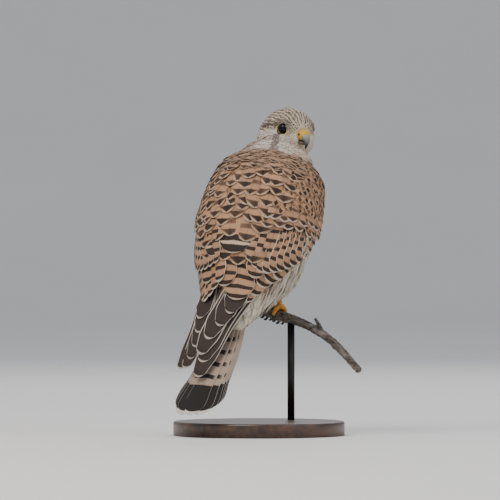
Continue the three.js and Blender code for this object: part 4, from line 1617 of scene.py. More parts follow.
@dataclass(frozen=True)
class Bill:
    """The cere and both halves of the bill, from slices.

    A slice gives x and z of its top, x and z of its bottom, and its half-width.
    """

    cere: Rows = (
        (16.5, 6, 16.2, -3.3, 5.2), (20.2, 6.2, 18.8, -3.1, 5.4), (23.4, 5.0, 20.6, -2.9, 4.9),
        (24.6, 3.7, 21.4, -2.9, 4.2),
    )
    upper: Rows = (
        (23.8, 4.0, 21.0, -2.9, 4.1), (25.2, 2.6, 22.3, -3, 3.8), (26.6, 0.4, 23.3, -3.3, 3.1),
        (27.5, -2.6, 24.1, -4.1, 2.2), (27, -5.8, 24.4, -6.4, 1.35), (25.2, -9.5, 24.7, -9.6, 0.35),
    )
    lower: Rows = (
        (14.5, -3.5, 14.5, -6.4, 4.6), (19.5, -3.4, 19.3, -6.6, 4.1), (22.4, -3.7, 22.1, -6.5, 3.1),
        (23.8, -4.9, 23.5, -6.2, 1.8),
    )
    nostril: Triple = (20.2, 4.9, 2.0)

    def piece(self, name: str, slices: Rows, rings: int, nostrils: bool = False) -> Mesh:
        """Makes one piece from its slices, round above and squarer below.

        Args:
            name: the mesh's name.
            slices: the piece's slices.
            rings: faces along it.
            nostrils: whether round holes with a raised rim are pressed into its sides.

        Returns:
            The mesh.
        """

        def place(share: Array, angle: Array, rim: Array) -> Array:
            """Places on the piece, as shaped asks for them."""
            top_x, top_z, bottom_x, bottom_z, half = np.moveaxis(along(slices, share), -1, 0)
            rise = 0.5 + 0.5 * rim * np.sin(angle)
            cos = np.cos(angle)
            wide = np.sign(cos) * np.abs(cos) ** np.where(np.sin(angle) < 0, 0.6, 1.0)
            x, z = bottom_x + (top_x - bottom_x) * rise, bottom_z + (top_z - bottom_z) * rise
            local = np.stack([x, rim * half * wide, z], 1)
            if nostrils:
                gap = np.hypot(x - self.nostril[0], z - self.nostril[2])
                ridge = 0.35 * np.exp(-(((gap - 1.25) / 0.35) ** 2))
                push = ridge - 1.3 * smooth(1.0, 0.7, gap) + 0.9 * smooth(0.4, 0.2, gap)
                local[:, 1] += np.sign(local[:, 1]) * push * (np.abs(local[:, 1]) > 2)
            return HEAD.out(local)

        return shaped(name, 96 if nostrils else 40, rings, place)

    def build(self, cere: Material, horn: Material, lower: Material) -> None:
        """Makes the bare skin, the upper half and the lower half, each in its own material."""
        new_piece("cere_skin", self.piece("cere_skin", self.cere, 60, True), cere, "cere", "cere")
        new_piece("upper_bill", self.piece("upper_bill", self.upper, 36), horn, "bill", "bill_upper")
        new_piece("lower_bill", self.piece("lower_bill", self.lower, 20), lower, "bill", "bill_lower")


# ---- branch and legs


@dataclass(frozen=True)
class Perch:
    """The cut branch with its bark, and one short twig.

    A knot is given by its share of the branch's length and its angle round it.
    """

    route: Rows = (
        (42, -20, 116.5), (16, -22, 107), (-4, -22, 101), (-36, -24, 91), (-62, -23, 76), (-86, -20, 55)
    )
    radii: Sequence[float] = (4.6, 5, 4.7, 3.7, 3.5, 3.1)
    twig: Rows = ((-46, -24, 84.5), (-45.5, -24.5, 90), (-40, -25, 98))
    twig_radii: Sequence[float] = (2.4, 1.8, 1.1)
    knots: Rows = ((0.1, 2.2), (0.42, 5), (0.63, 1), (0.8, 4))

    def ridges(self, at: Array, angle: Array, place: Array) -> Array:
        """Lengthwise ridges, small knots and cracks of the bark.

        Args:
            at: share of the branch's length.
            angle: angle round it.
            place: the place on its surface.

        Returns:
            How far the bark stands out.
        """
        wave = 0.3 * np.sin(3 * angle + 9 * at) + 0.2 * np.sin(5 * angle - 23 * at)
        fine = [noise.noise(Vector((x * 0.9, y * 0.9, z * 0.35))) for x, y, z in (place * 0.45).tolist()]
        near = [0.8 * np.exp(-(((at - k) / 0.012) ** 2)) * np.exp(np.cos(angle - t) - 1) for k, t in self.knots]
        return wave + 0.45 * np.array(fine) + sum(near) - 0.3

    @staticmethod
    def rings(at: Array, angle: Array, place: Array) -> Array:
        """The twig's faint slanting rings."""
        return 0.15 * np.sin(7 * angle + 30 * at)

    def build(self, bark: Material) -> None:
        """Makes the branch.

        Args:
            bark: its material.
        """
        made = bmesh.new()
        made.from_mesh(tube("limb", self.route, self.radii, 36, 260, self.ridges))
        made.from_mesh(tube("twig", self.twig, self.twig_radii, 18, 50, self.rings))
        new_piece("branch", mesh_of("branch", made), bark, "bark", "perch_branch")


@dataclass(frozen=True)
class Grip:
    """Where a foot holds the branch, found by how far it stands to the side."""

    x: float
    perch: Perch = Perch()

    def frame(self) -> tuple[Array, Array, float, Array, Array]:
        """Reads the branch under the foot.

        Returns:
            The branch's middle, axis and radius, and the foot's forward and upward directions.
        """
        share = np.linspace(0, 1, 2001)
        line = along(self.perch.route, share)
        i = int(np.argmax(line[:, 0] <= self.x))
        axis = unit(line[i + 1] - line[i - 1])
        forwards = unit(np.array([0.0, -1, 0]) + axis * axis[1])
        up = np.cross(axis, forwards)
        up = up if up[2] > 0 else -up
        radius = float(along([[r] for r in self.perch.radii], share[i : i + 1])[0, 0])
        return line[i], axis, radius, forwards, unit(up)

    def around(self, degrees: Array, sideways: Array, height: Array) -> Array:
        """Places round the branch.

        Args:
            degrees: the turn from its top towards the front.
            sideways: how far along it.
            height: how far over its surface.

        Returns:
            The places.
        """
        middle, axis, radius, forwards, up = self.frame()
        a = np.radians(degrees)[:, None]
        reach = (radius + np.asarray(height))[:, None]
        return middle + axis * np.asarray(sideways)[:, None] + forwards * reach * np.sin(a) + up * reach * np.cos(a)

    def top(self, height: float) -> Array:
        """The place over the branch's top."""
        return self.around(np.zeros(1), np.zeros(1), np.array([height]))[0]


def scutes(at: Array, angle: Array, place: Array) -> Array:
    """Ridges across a toe's top and pads under its joints."""
    ridge = np.abs(np.sin(at * math.pi * 13)) * 0.16 * smooth(-0.2, 0.6, np.sin(angle))
    return ridge + 0.22 * np.sin(at * math.pi * 3.5) ** 2 * smooth(0.1, -0.8, np.sin(angle)) - 0.12


def plates(at: Array, angle: Array, place: Array) -> Array:
    """Overlapping plates down the tarsus."""
    return 0.14 * np.abs(np.sin(at * math.pi * 9)) - 0.08


@dataclass(frozen=True)
class Toe:
    """A toe and its claw.

    The reach is how far the toe goes round the branch in degrees, and the drift how far its tip
    stands to the side.
    """

    reach: float
    drift: float
    radius: float
    gap: float = 0.3
    bend: float = 0.8

    def flesh(self, grip: Grip) -> Mesh:
        """Makes the toe.

        Args:
            grip: where the foot holds the branch.

        Returns:
            Its mesh.
        """
        share, r = np.linspace(0, 1, 13), self.radius
        arch = r + self.gap + 0.5 + 0.5 * np.sin(math.pi * share * 2) ** 2
        route = grip.around(self.reach * share * self.bend, self.drift * np.sqrt(share), arch)
        return tube("toe", route.tolist(), [r, r * 1.05, r * 0.95, r * 0.72], 18, 56, scutes)

    def claw(self, grip: Grip) -> Mesh:
        """Makes the claw at the toe's end.

        Args:
            grip: where the foot holds the branch.

        Returns:
            Its mesh.
        """
        start, sign = self.reach * self.bend, math.copysign(1, self.reach)
        s = np.linspace(0, 1, 9)
        height = self.radius + self.gap + 0.35 - 0.9 * s + 1.1 * np.sin(math.pi * s)
        curve = grip.around(start + sign * (3 + 46 * s), self.drift * (1 + 0.04 * s), height)
        return tube("claw", curve.tolist(), [1.25, 0.95, 0.24], 16, 26)


@dataclass(frozen=True)
class Leg:
    """A tarsus, four toes and four claws."""

    side: int
    name: str
    middle: float = 1.2
    stance: float = 6.0
    sole: Triple = (4, 4.2, 2.5)
    toes: tuple[Toe, ...] = (Toe(155, -4.1, 1.8), Toe(165, 0, 1.9), Toe(150, 4.1, 1.7), Toe(-110, 0, 1.9))

    def build(self, skin: Material, horn: Material) -> None:
        """Makes the leg's pieces.

        Args:
            skin: the bare skin's material.
            horn: the claws' material.
        """
        grip = Grip(self.middle + self.side * self.stance)
        made = bmesh.new()
        for index, toe in enumerate(self.toes):
            made.from_mesh(toe.flesh(grip))
            name = f"{self.name}_{index + 1}"
            new_piece(f"talon_{name}", toe.claw(grip), horn, "claw", f"claw_{name}")
        pad, rings = grip.top(3.2), 16

        def sole(share: Array, angle: Array, rim: Array) -> Array:
            """Places on the foot's round middle, as shaped asks for them."""
            tilt = polar(share, rim, rings)
            flat = rim * np.sin(tilt)
            ball = np.stack([flat * np.cos(angle), flat * np.sin(angle), np.cos(tilt)], 1)
            return pad + ball * np.array(self.sole)

        made.from_mesh(shaped("sole", 28, rings, sole))
        new_piece(f"toes_{self.name}", mesh_of("toes", made), skin, "leg_skin", f"foot_{self.name}")
        foot = grip.top(3.0)
        route = [[self.side * 7, -19, 123], [foot[0], foot[1] + 1, foot[2] + 5], list(foot)]
        shank = tube("shank", route, [2.4, 2.16, 2.76], 20, 60, plates)
        new_piece(f"shank_{self.name}", shank, skin, "leg_skin", f"tarsus_{self.name}")


# ---- stand and studio


@dataclass(frozen=True)
class Stand:
    """A round wooden base and one dark rod."""

    radius: float = 72
    height: float = 12
    bevel: float = 2
    rod: float = 3

    def build(self, wood: Material, metal: Material) -> None:
        """Makes the base and the rod.

        Args:
            wood: the base's material.
            metal: the rod's material.
        """
        foot, top = Vector((0, 0, 0)), Vector((0, 0, self.height * MM))
        disc = cylinder("base", self.radius * MM, foot, top, 160, self.bevel * MM)
        new_piece("base", disc, wood, "stand_base", "stand_base")
        low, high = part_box("stand_rod")
        middle = (low + high) / 2
        low, high = Vector((middle.x, middle.y, low.z)), Vector((middle.x, middle.y, high.z))
        rod = cylinder("rod", self.rod * MM, low, high, 40)
        new_piece("rod", rod, metal, "stand_rod", "stand_rod")


@dataclass(frozen=True)
class Finishes:
    """The materials of the skin, the bare parts, the branch and the stand."""

    @staticmethod
    def grained(name: str, colours: tuple[str, str], scale: float, inputs: dict, relief: float = 0.0) -> Material:
        """A plain finish of two near colours.

        Args:
            name: the material's name.
            colours: both colours.
            scale: the grain's fineness.
            inputs: the shader's other constants.
            relief: how strongly the grain stands out.

        Returns:
            The material.
        """
        shader = Shader(name)
        grain = shader.noise(shader.place(), scale, 2.0)
        bump = {"Normal": shader.bump(grain, 0.0001, relief)} if relief else {}
        return shader.finish({"Base Color": shader.mix(grain, *map(rgb, colours)), **inputs, **bump})

    @staticmethod
    def skin() -> Material:
        """The body's skin, which wears the plumage's own colours under the feathers.

        Returns:
            The material.
        """
        shader = Shader("Skin")
        tone = shader.attribute("Tone").outputs["Color"]
        down = shader.noise(shader.place(), 900.0, 3.0, 0.6)
        colour = shader.mix(down * 0.5, tone, shader.mix(0.6, tone, (0.35, 0.3, 0.26, 1.0), "MULTIPLY"))
        return shader.finish({"Base Color": colour, "Roughness": 0.85, "Normal": shader.bump(down, 0.0005)})

    def eyeball(self) -> Material:
        """A near-black brown eye with a wet front."""
        look = {"Roughness": 0.05, "IOR": 1.36, "Specular IOR Level": 0.3}
        return self.grained("Eyeball", ("070505", "120b08"), 1400.0, look)

    def bare_skin(self, name: str, light: str, crease_shade: str, scale: float, holes: Rows = ()) -> Material:
        """Bare yellow skin with fine pores, darker towards each pore's edge as painted shade in its creases.

        Args:
            name: the material's name.
            light: its raised colour.
            crease_shade: the darker colour painted into the creases, as painted shade.
            scale: how many pores there are in a metre.
            holes: places of the head that get a ring of painted shade round a paler middle, as the nostrils.

        Returns:
            The material.
        """
        shader = Shader(name)
        place = shader.place()
        kind, inputs = {"feature": "DISTANCE_TO_EDGE"}, {"Vector": place, "Scale": scale}
        cells = shader.node("ShaderNodeTexVoronoi", kind, inputs)
        edge = shader.value(cells.outputs["Distance"]).step(0.0, 0.16)
        cloud = shader.noise(place, 260.0, 3.0)
        # painted shade: the colour darkens from the raised colour to the crease colour towards each pore's edge
        colour = shader.mix(edge * 0.75 + cloud * 0.25, rgb(crease_shade), rgb(light))
        # painted shade: a dark ring at each nostril stands for the shade inside its opening, round a paler middle
        for shaded_hole in HEAD.out(np.array(holes)) * MM if holes else ():
            gap = shader.distance(place, shaded_hole) / MM
            colour = shader.mix(gap.step(1.45, 1.05) * gap.step(0.35, 0.7), colour, rgb("2b2110"))
        return shader.finish(
            {"Base Color": colour, "Roughness": 0.5 - edge * 0.08, "Normal": shader.bump(edge, 0.00025, 0.8)}
        )

    def horn(self) -> Material:
        """Bill horn, from pale blue-grey at the base to black at the tip.

        Returns:
            The material.
        """
        shader = Shader("Bill_horn")
        place = shader.place()
        tip = HEAD.out(np.array([[25.2, 0.0, -9.5]]))[0] * MM
        streak = shader.noise(shader.scaled(place, (1, 1, 0.3)), 900.0, 2.0)
        reach = shader.distance(place, tip) + (streak - 0.5) * 0.0015
        dark = shader.mix(reach.step(0.0075, 0.003), rgb("62666a"), rgb("101114"))
        colour = shader.mix(reach.step(0.0075, 0.0125), dark, rgb("8f8f80"))
        return shader.finish({"Base Color": colour, "Roughness": 0.3, "Normal": shader.bump(streak, 0.0001, 0.5)})

    def claw(self) -> Material:
        """Glossy black horn."""
        return self.grained("Claw_horn", ("0e0d0c", "241f1c"), 700.0, {"Roughness": 0.42}, relief=0.4)

    def bark(self) -> Material:
        """Dark grey-brown bark with paler streaks and lichen specks.

        Returns:
            The material.
        """
        shader = Shader("Bark")
        place = shader.place()
        long = shader.scaled(place, (0.35, 1.0, 1.0))
        streak = shader.noise(long, 420.0, 4.0, 0.65)
        patch = shader.noise(place, 120.0, 3.0)
        dark = shader.mix(streak.step(0.35, 0.7), rgb("2e2823"), rgb("6f665c"))
        grey = shader.mix(patch.step(0.5, 0.72) * 0.6, dark, rgb("8f897e"))
        specks = shader.noise(place, 900.0, 2.0).step(0.66, 0.72)
        colour = shader.mix(specks * 0.5, grey, rgb("a79a63"))
        height = streak * 0.7 + shader.noise(place, 1300.0, 2.0) * 0.3
        return shader.finish({"Base Color": colour, "Roughness": 0.88, "Normal": shader.bump(height, 0.0012, 0.9)})

    def wood(self) -> Material:
        """Dark stained wood with long grain under a thin satin lacquer.

        Returns:
            The material.
        """
        shader = Shader("Stained_wood")
        place = shader.place()
        long = shader.scaled(place, (1.0, 0.09, 1.0))
        rings = shader.noise(long, 160.0, 4.0, 0.6)
        pores = shader.noise(shader.scaled(place, (1.0, 0.03, 1.0)), 1500.0, 2.0)
        colour = shader.mix(rings.step(0.3, 0.7), rgb("2a1c13"), rgb("543926"))
        colour = shader.mix(pores.step(0.62, 0.7) * 0.5, colour, rgb("150e0a"))
        look = {"Base Color": colour, "Roughness": 0.36 + rings * 0.1, "Coat Weight": 0.3, "Coat Roughness": 0.2}
        return shader.finish({**look, "Normal": shader.bump(pores, 0.0002, 0.4)})

    def backdrop(self) -> Material:
        """A plain pale floor."""
        return self.grained("Pale_floor", ("dddbd7", "e3e1dd"), 3.0, {"Roughness": 0.9})

    def metal(self) -> Material:
        """Dark satin steel.

        Returns:
            The material.
        """
        shader = Shader("Dark_steel")
        brush = shader.noise(shader.scaled(shader.place(), (1, 1, 0.04)), 2600.0, 2.0)
        colour = shader.mix(brush, rgb("2b2a2a"), rgb("3c3a39"))
        return shader.finish({"Base Color": colour, "Metallic": 1.0, "Roughness": 0.38 + brush * 0.12})


@dataclass(frozen=True)
class Lamp:
    """One soft square light: its direction from the camera's side, then metres, watts and its tint."""

    name: str
    degrees: float
    height: float
    reach: float
    size: float
    power: float
    tint: str


@dataclass(frozen=True)
class Studio:
    """The camera at the photograph's angle, soft lights, and a pale sweep of floor."""

    azimuth: float = 212.0
    distance: float = 4.0
    target: Triple = (6.4, 4.0, 155.6)
    lens: float = 342.9
    rise: float = 0.0
    floor: float = 6.0
    wall: float = 3.0
    sky: tuple[float, float, float, float] = (0.86, 0.9, 1.0, 1.0)
    glow: float = 0.66
    lamps: tuple[Lamp, ...] = (
        Lamp("key", -35, height=1.9, reach=1.7, size=1.5, power=48, tint="fff7ee"),
        Lamp("fill", 55, height=1.0, reach=1.9, size=1.8, power=14, tint="eef3ff"),
        Lamp("rim", 170, height=1.5, reach=1.7, size=1.2, power=12, tint="ffffff"),
    )

    @staticmethod
    def hang(name: str, data: bpy.types.ID, place: Vector, aim: Vector) -> Object:
        """Puts a camera or a light in the scene.

        Args:
            name: its name.
            data: its settings.
            place: where it stands.
            aim: the direction that it looks in.

        Returns:
            The new object.
        """
        item = bpy.data.objects.new(name, data)
        bpy.context.scene.collection.objects.link(item)
        item.location = place
        item.rotation_euler = aim.to_track_quat("-Z", "Y").to_euler()
        return item

    def camera(self) -> None:
        """Makes the scene's camera."""
        data = bpy.data.cameras.new("camera")
        data.sensor_width, data.lens, data.clip_end = 36.0, self.lens, 20.0
        a, e = math.radians(self.azimuth), math.radians(self.rise)
        back = Vector((math.sin(a) * math.cos(e), -math.cos(a) * math.cos(e), math.sin(e)))
        place = Vector(self.target) * MM + back * self.distance
        bpy.context.scene.camera = self.hang("camera", data, place, -back)

    def light(self, lamp: Lamp) -> None:
        """Hangs one light, which faces the bird.

        Args:
            lamp: the light.
        """
        data = bpy.data.lights.new(lamp.name, "AREA")
        data.size, data.energy, data.color = lamp.size, lamp.power, rgb(lamp.tint)[:3]
        a = math.radians(self.azimuth + lamp.degrees)
        place = Vector((math.sin(a) * lamp.reach, -math.cos(a) * lamp.reach, lamp.height))
        self.hang(lamp.name, data, place, Vector((0, 0, 0.16)) - place)

    def sweep(self) -> Mesh:
        """Makes the floor, which bends up into a wall all round.

        Returns:
            Its mesh.
        """
        form = bmesh.new()
        bmesh.ops.create_circle(form, cap_ends=True, segments=96, radius=self.floor)
        rim, steps = [e for e in form.edges if e.is_boundary], 10
        for step in range(steps):
            made = bmesh.ops.extrude_edge_only(form, edges=rim)["geom"]
            rim = [g for g in made if isinstance(g, bmesh.types.BMEdge)]
            a = (step + 1) / steps * math.pi / 2
            for v in (g for g in made if isinstance(g, bmesh.types.BMVert)):
                flat = Vector((v.co.x, v.co.y, 0)).normalized()
                v.co = flat * (self.floor + self.wall * math.sin(a)) + Vector((0, 0, self.wall * (1 - math.cos(a))))
        for face in form.faces:
            face.smooth = True
        return mesh_of("floor", form)

    def build(self, floor: Material) -> None:
        """Makes the floor and the lights.

        Args:
            floor: the floor's material.
        """
        mesh = self.sweep()
        mesh.materials.append(floor)
        ground = bpy.data.objects.new("floor", mesh)
        bpy.context.scene.collection.objects.link(ground)
        world = bpy.data.worlds.new("studio")
        bpy.context.scene.world = world
        world.use_nodes = True
        inputs = world.node_tree.nodes["Background"].inputs
        inputs["Color"].default_value, inputs["Strength"].default_value = self.sky, self.glow
        for lamp in self.lamps:
            self.light(lamp)


# ---- the whole plumage


@dataclass
class Coat:
    """The small feathers of body and head, tract by tract."""

    body: Body
    small: VaneShape = VaneShape(
        4, 4, ((0, 0.4), (0.3, 0.9), (0.65, 1), (1, 0.5)), fall=0.5, thick=0.12, shaft=0.1, hollow=7, blunt=0.45
    )
    soft: VaneShape = VaneShape(
        5, 4, ((0, 0.45), (0.3, 0.9), (0.6, 1), (0.85, 0.8), (1, 0.4)),
        fall=0.6, thick=0.14, shaft=0.15, hollow=12, blunt=0.45,
    )
    wisp: VaneShape = VaneShape(
        6, 2, ((0, 0.5), (0.3, 1), (0.7, 0.8), (1, 0.15)), fall=0.2, thick=0.1, shaft=0.0, hollow=9, blunt=0.4
    )

    def trunk(self, points: Array) -> Array:
        """The trunk and neck outside the mantle, the wings, the nape and the legs."""
        d, degrees = Spine.around(points)
        thigh = (points[:, 2] < 140) & (points[:, 1] < 2) & (np.abs(points[:, 0]) < 30)
        return ((np.abs(degrees) > 84) | (d < -40)) & (d < 73) & ~thigh & ~self.nape(points)

    def nape(self, points: Array) -> Array:
        """The hind neck, between the mantle and the head."""
        d, degrees = Spine.around(points)
        return (d > 43) & (d < 71) & (np.abs(degrees) < 100)

    def thighs(self, points: Array) -> Array:
        """The thighs."""
        return (points[:, 2] < 146) & (points[:, 1] < 4) & (np.abs(points[:, 0]) < 32)

    def flanks(self, points: Array) -> Array:
        """The flanks, belly and thighs that hang free of the wings."""
        d, degrees = Spine.around(points)
        return (np.abs(degrees) > 86) & (d < 14) & (d > -62)

    def head(self, points: Array) -> Array:
        """The head, apart from the eyes and the bill."""
        x, y, z = HEAD.into(points).T
        out, radius, _ = self.body.eye_gap(points)
        bill = (x > 15.5) & (np.abs(y) < 5.2) & (z < 6.5) & (z > -5.0)
        return (Spine.distance(points) > 69) & ~((radius < 5.7) & (out > 0)) & ~bill

    @staticmethod
    def head_gap(points: Array) -> Array:
        """The head's feathers are smallest at the face."""
        return 1.15 + 1.25 * smooth(16, -18, HEAD.into(points)[:, 0])

    def tracts(self) -> tuple[CoatTract, ...]:
        """Lists the tracts.

        Returns:
            The tracts, in the order in which they are laid.
        """
        return (
            CoatTract(
                "breast_feathers", "plumage_belly", self.trunk,
                gap=lambda p: 3.1 + 1.9 * smooth(66, 30, Spine.distance(p)), shape=self.soft,
                finish=VaneFinish("Breast_feather", Marking.STREAK, "5f4c40", "d9cdb6", rim=0.5, tip=6.0, rough=0.8),
                tries=9000, seed=3,
            ),
            CoatTract(
                "nape_feathers", "plumage_back", self.nape,
                gap=lambda p: 2.2 + 1.0 * smooth(66, 44, Spine.distance(p)), shape=self.soft,
                finish=VaneFinish("Nape_feather", Marking.SPOT, tip=0.4, bar=1.3, rim=0.2, fringe=2.0),
                length=3.4, width=2.1, lift=(-1.0, 0.3), tries=12000, seed=6, sway=5.0,
            ),
            CoatTract(
                "thigh_feathers", "plumage_belly", self.thighs, gap=lambda p: np.full(len(p), 3.2), shape=self.soft,
                finish=VaneFinish("Thigh_feather", Marking.STREAK, "b09a7c", "e3d9c3", rim=0.5, tip=6.0, rough=0.85),
                length=3.4, width=1.3, lift=(-1.6, 1.4), tries=5000, seed=4, sway=8.0, drop=0.35,
            ),
            CoatTract(
                "flank_wisps", "plumage_belly", self.flanks, gap=lambda p: np.full(len(p), 3.6), shape=self.wisp,
                finish=VaneFinish("Flank_wisp", Marking.PLAIN, pale="efe6d4", rim=0.4, rough=0.85),
                length=5.2, width=0.75, lift=(-1.0, 2.6), tries=4200, seed=9, sway=14.0, drop=0.55,
            ),
            CoatTract(
                "head_feathers", "plumage_head", self.head, gap=self.head_gap, shape=self.small,
                finish=VaneFinish(
                    "Head_feather", Marking.STREAK, "41352c", "d8cbb8", rim=0.15, tip=3.0, rough=0.78, lines=22.0
                ),
                length=4.2, width=1.3, lift=(-0.5, 0.3), tries=26000, seed=5, sway=3.0,
            ),
        )

    def build(self) -> None:
        """Lays the tracts."""
        for tract in self.tracts():
            tract.build(self.body)


SCAPULAR_EDGE: Rows = ((-50, 6), (-45, 9), (-24.5, 27), (-13, 37), (0, 46), (14, 51), (26, 55), (40, 57), (56, 64))
SCAPULARS: Rows = (
    (-53, -3, 15), (-52, -27, 12), (-52, 30, 16), (-55, 14, 15), (19, -35, 9), (19, -17, 12), (16, -1, 10),
    (18, 12, 11), (20, 23, 10), (24, 35, 11), (25, 52, 14), (12, -34, 8), (14, -24, 11), (10, -7, 12),
    (8, 10, 16), (12, 24, 10), (12, 34, 15), (13, 51, 16), (6, -32, 8), (2, -20, 12), (-1, -6, 11), (1, 4, 13),
    (1, 16, 12), (2, 25, 14), (5, 39, 12), (0, 48, 16), (-9, -28, 9), (-5, -12, 11), (-12, -5, 12), (-7, 1, 11),
    (-7, 13, 12), (-6, 23, 14), (-12, 12, 13), (-12, 36, 16), (-5, 32, 13), (-19, -26, 8), (-17, -18, 12),
    (-21, -7, 12), (-18, 5, 13), (-19, 17, 15), (-18, 27, 15), (-26, -26, 10), (-24, 29, 19), (-34, -12, 17),
    (-32, 2, 15), (-34, 18, 19), (19, -47, 13), (9, -45, 13), (0, -42, 13), (-10, -40, 13), (-20, -38, 13),
    (-30, -36, 14), (-40, -30, 15), (14, -36, 15), (4, -34, 15), (-8, -33, 15), (-18, -31, 15), (-28, -28, 15),
)
LARGE_SCAPULARS: Rows = ((-48, -15, 17), (-46, 8, 24))
TERTIALS: Rows = ((-63, 37, 15), (-69, -31, 14), (-73, -1, 18), (-84, 19, 22))


VANE = VaneShape(
    8, 6, ((0, 0.42), (0.2, 0.8), (0.55, 1), (0.85, 0.95), (1, 0.66)),
    fall=0.45, thick=0.16, shaft=0.16, hollow=42, blunt=0.6,
)
SCALE = VaneShape(
    5, 4, ((0, 0.42), (0.25, 0.85), (0.55, 1), (0.85, 0.95), (1, 0.62)),
    fall=0.5, thick=0.14, shaft=0.1, hollow=26, blunt=0.5,
)


GREATER = {"count": 13, "width": 13.5, "roll": -5, "stack": 0.16}
SECONDARIES = {"count": 8, "width": 18, "roll": -6, "stack": 0.35}
PRIMARIES = {"count": 7, "roll": -3, "tone": Shade.FLIGHT}


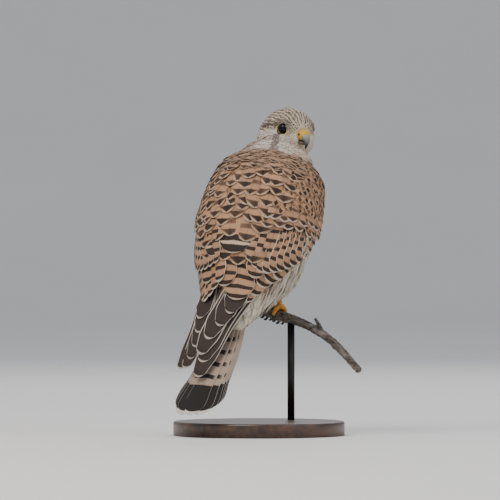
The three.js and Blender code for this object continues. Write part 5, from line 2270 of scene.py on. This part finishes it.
@dataclass(frozen=True)
class Back:
    """The feathers of mantle, scapulars, coverts, wings and tail."""

    tracts: tuple[RowTract, ...] = (
        RowTract(
            "mantle_feathers", "plumage_back", first=43, last=21, outer=SCAPULAR_EDGE, shape=SCALE,
            size=((21, 5.6, 9.5, 17, 14.5), (34, 4.6, 7.6, 13, 12), (43, 3.8, 6.0, 10, 9)),
            finish=VaneFinish(
                "Mantle_feather", Marking.CHEVRON, "2c211a", "b9a187",
                tip=0.4, bar=3.2, pitch=7.5, rim=0.2, fringe=2.5,
            ),
            tone=Shade.TAWNY, sag=1.0, lift=(-2.2, 0.4), seed=11, mark=(0.55, 1.0), loose=1.6,
        ),
        RowTract(
            "scapular_feathers", "plumage_back", places=SCAPULARS, shape=VANE,
            finish=VaneFinish(
                "Scapular_feather", Marking.CHEVRON, "2c211a", "c0ac94",
                tip=0.7, bar=5.6, pitch=11, rim=0.2, fringe=3.0,
            ),
            lift=(-2.4, 0.3), seed=12, loose=1.3,
        ),
        RowTract(
            "large_scapulars", "plumage_back", places=LARGE_SCAPULARS, shape=VANE,
            finish=VaneFinish(
                "Large_scapular", Marking.PATCH, "2f2621", "c6b69f",
                tip=1.2, bar=7.2, pitch=13.5, rim=0.8, fringe=12.0,
            ),
            lift=(-2.2, 1.1), seed=15, mark=(0.9, 1.0), loose=0.2,
        ),
        RowTract(
            "tertials", "plumage_wing", places=TERTIALS, base=20.0, shape=VANE,
            finish=VaneFinish(
                "Tertial", Marking.BARS, tip=1.8, bar=3.6, pitch=8.6, rim=0.6, fringe=20.0, pale="c9b9a3"
            ),
            tone=Shade.COVERT, lift=(-3.2, -0.5), seed=17, mark=(0.9, 1.0), loose=0.3,
        ),
        RowTract(
            "lesser_coverts", "plumage_wing", first=46, last=-18, shape=SCALE,
            size=((-18, 5.8, 7.8, 14, 11), (20, 5.2, 6.8, 12, 9.5), (54, 4.6, 6, 11, 8.5)),
            outer=((-18, 96), (0, 112), (20, 120), (54, 122)), inner=((-18, 30), (0, 43), (26, 52), (54, 60)),
            finish=VaneFinish(
                "Lesser_covert", Marking.SPOT, "2c211a", "b9a187", tip=0.3, bar=2.9, rim=0.2, fringe=3.0
            ),
            sag=2.0, lift=(-2.0, 0.0), seed=13, mark=(0.6, 1.0), loose=1.2,
        ),
        RowTract(
            "median_coverts", "plumage_wing", first=-17, last=-31, shape=VANE,
            size=((-31, 7.2, 9.4, 22, 13.5), (-17, 7.2, 9, 20, 13)),
            outer=((-31, 96), (-17, 104)), inner=((-31, 28), (-17, 34)),
            finish=VaneFinish(
                "Median_covert", Marking.CHEVRON, tip=1.0, bar=3.6, pitch=9.0, rim=0.25, fringe=3.0, pale="c9b8a3"
            ),
            tone=Shade.COVERT, sag=4.0, lift=(-2.0, 0.4), seed=14, loose=0.9,
        ),
    )
    greater: VaneFinish = VaneFinish("Greater_covert", Marking.BARS, tip=1.6, bar=3.3, pitch=8.4, rim=0.5)
    secondary: VaneFinish = VaneFinish("Secondary", Marking.BARS, tip=2.0, bar=3.4, pitch=9.0, rim=0.6)
    primary: VaneFinish = VaneFinish("Primary", Marking.EDGED, "372d28", "d3c8ba", rim=0.75, tip=1.5)
    wings: tuple[Wing, ...] = (
        Wing(
            1,
            LongTier(
                lift=(-2, 0), **GREATER,
                roots=((-10, 32), (-12, 60), (-8, 84), (6, 108)),
                tips=((-51, 29), (-58, 43), (-55, 58), (-48, 74), (-39, 88), (-26, 100), (-10, 110)),
            ),
            LongTier(
                lift=(-5.0, -2.2), **SECONDARIES,
                roots=((-16, 10), (-16, 40), (-12, 66), (-6, 90)),
                tips=((-72, -4), (-84, 9), (-87, 24), (-81, 37), (-71, 48), (-64, 58), (-58, 69)),
            ),
            LongTier(
                width=18.5, lift=(-9, -7), stack=1.0, **PRIMARIES,
                roots=((-26, 50), (-18, 76), (-12, 98)),
                via=((-46, 30), (-57, 16), (-62, 22)),
                ends=(
                    (-3.5, 53.4, 103), (2.8, 59.2, 92.6), (10.9, 64.2, 81.7), (14.5, 70.3, 69), (10.8, 72.2, 62.7),
                    (11, 79.1, 50.6), (9, 71, 64),
                ),
                end_normal=(-0.12, 0.82, 0.55),
            ),
        ),
        Wing(
            -1,
            LongTier(
                lift=(-2, 1), **GREATER,
                roots=((-10, -22), (-12, -52), (-8, -80), (6, -108)),
                tips=((-54, -12), (-58, -28), (-57, -46), (-52, -62), (-42, -82), (-28, -98), (-12, -110)),
            ),
            LongTier(
                lift=(-5.0, 0.5), **SECONDARIES,
                roots=((-16, -20), (-16, -46), (-12, -70), (-6, -90)),
                tips=((-70, -8), (-78, -20), (-84, -34), (-82, -50), (-72, -62), (-64, -72)),
            ),
            LongTier(
                width=17, lift=(-9, -6), stack=0.8, **PRIMARIES,
                roots=((-26, -58), (-18, -80), (-12, -98)),
                via=((-62, -14), (-70, -18), (-74, -12)),
                ends=(
                    (30.7, 46, 98.5), (26.7, 54, 86.7), (25.3, 61, 75), (26.5, 67, 65), (27.9, 71, 57.3),
                    (32.7, 72, 56.5), (31.5, 66, 66.5),
                ),
                end_normal=(0.05, 0.82, 0.56),
            ),
        ),
    )
    tail: Tail = Tail()

    def build(self) -> None:
        """Lays the tracts, the wings and the tail."""
        for tract in self.tracts:
            tract.build()
        finishes = {
            "greater_coverts": self.greater.material(),
            "secondaries": self.secondary.material(),
            "primaries": self.primary.material(),
        }
        for wing in self.wings:
            wing.build(finishes)
        self.tail.build()


def main() -> None:
    """Builds the bird, its perch and its stand, and reports each piece."""
    logging.basicConfig(level=logging.INFO, format="%(name)s %(message)s")
    studio = Studio()
    studio.camera()
    finishes = Finishes()
    body = Body()
    body.build()
    Coat(body).build()
    Back().build()
    ball = finishes.eyeball()
    # the second colour of each bare skin is its painted shade in the creases
    lid = finishes.bare_skin("Eye_ring", "9c8a52", "6b5d38", 1600.0)
    for side in (1, -1):
        Eye(side).build(ball, lid)
    bill = Bill()
    x, y, z = bill.nostril
    nostrils = ((x, -y, z), (x, y, z))
    # the second colour of each bare skin is its painted shade in the creases
    bill.build(
        cere=finishes.bare_skin("Cere_skin", "dfb93a", "b58c24", 1500.0, nostrils),
        horn=finishes.horn(),
        lower=finishes.bare_skin("Lower_bill", "6f6752", "524b3c", 1500.0),
    )
    # the second colour of the leg skin is its painted shade in the creases
    leg, claw = finishes.bare_skin("Leg_skin", "d3912a", "9a621a", 900.0), finishes.claw()
    for side, name in ((-1, "right"), (1, "left")):
        Leg(side, name).build(leg, claw)
    Perch().build(finishes.bark())
    Stand().build(finishes.wood(), finishes.metal())
    studio.build(finishes.backdrop())


if __name__ == "__main__":
    main()
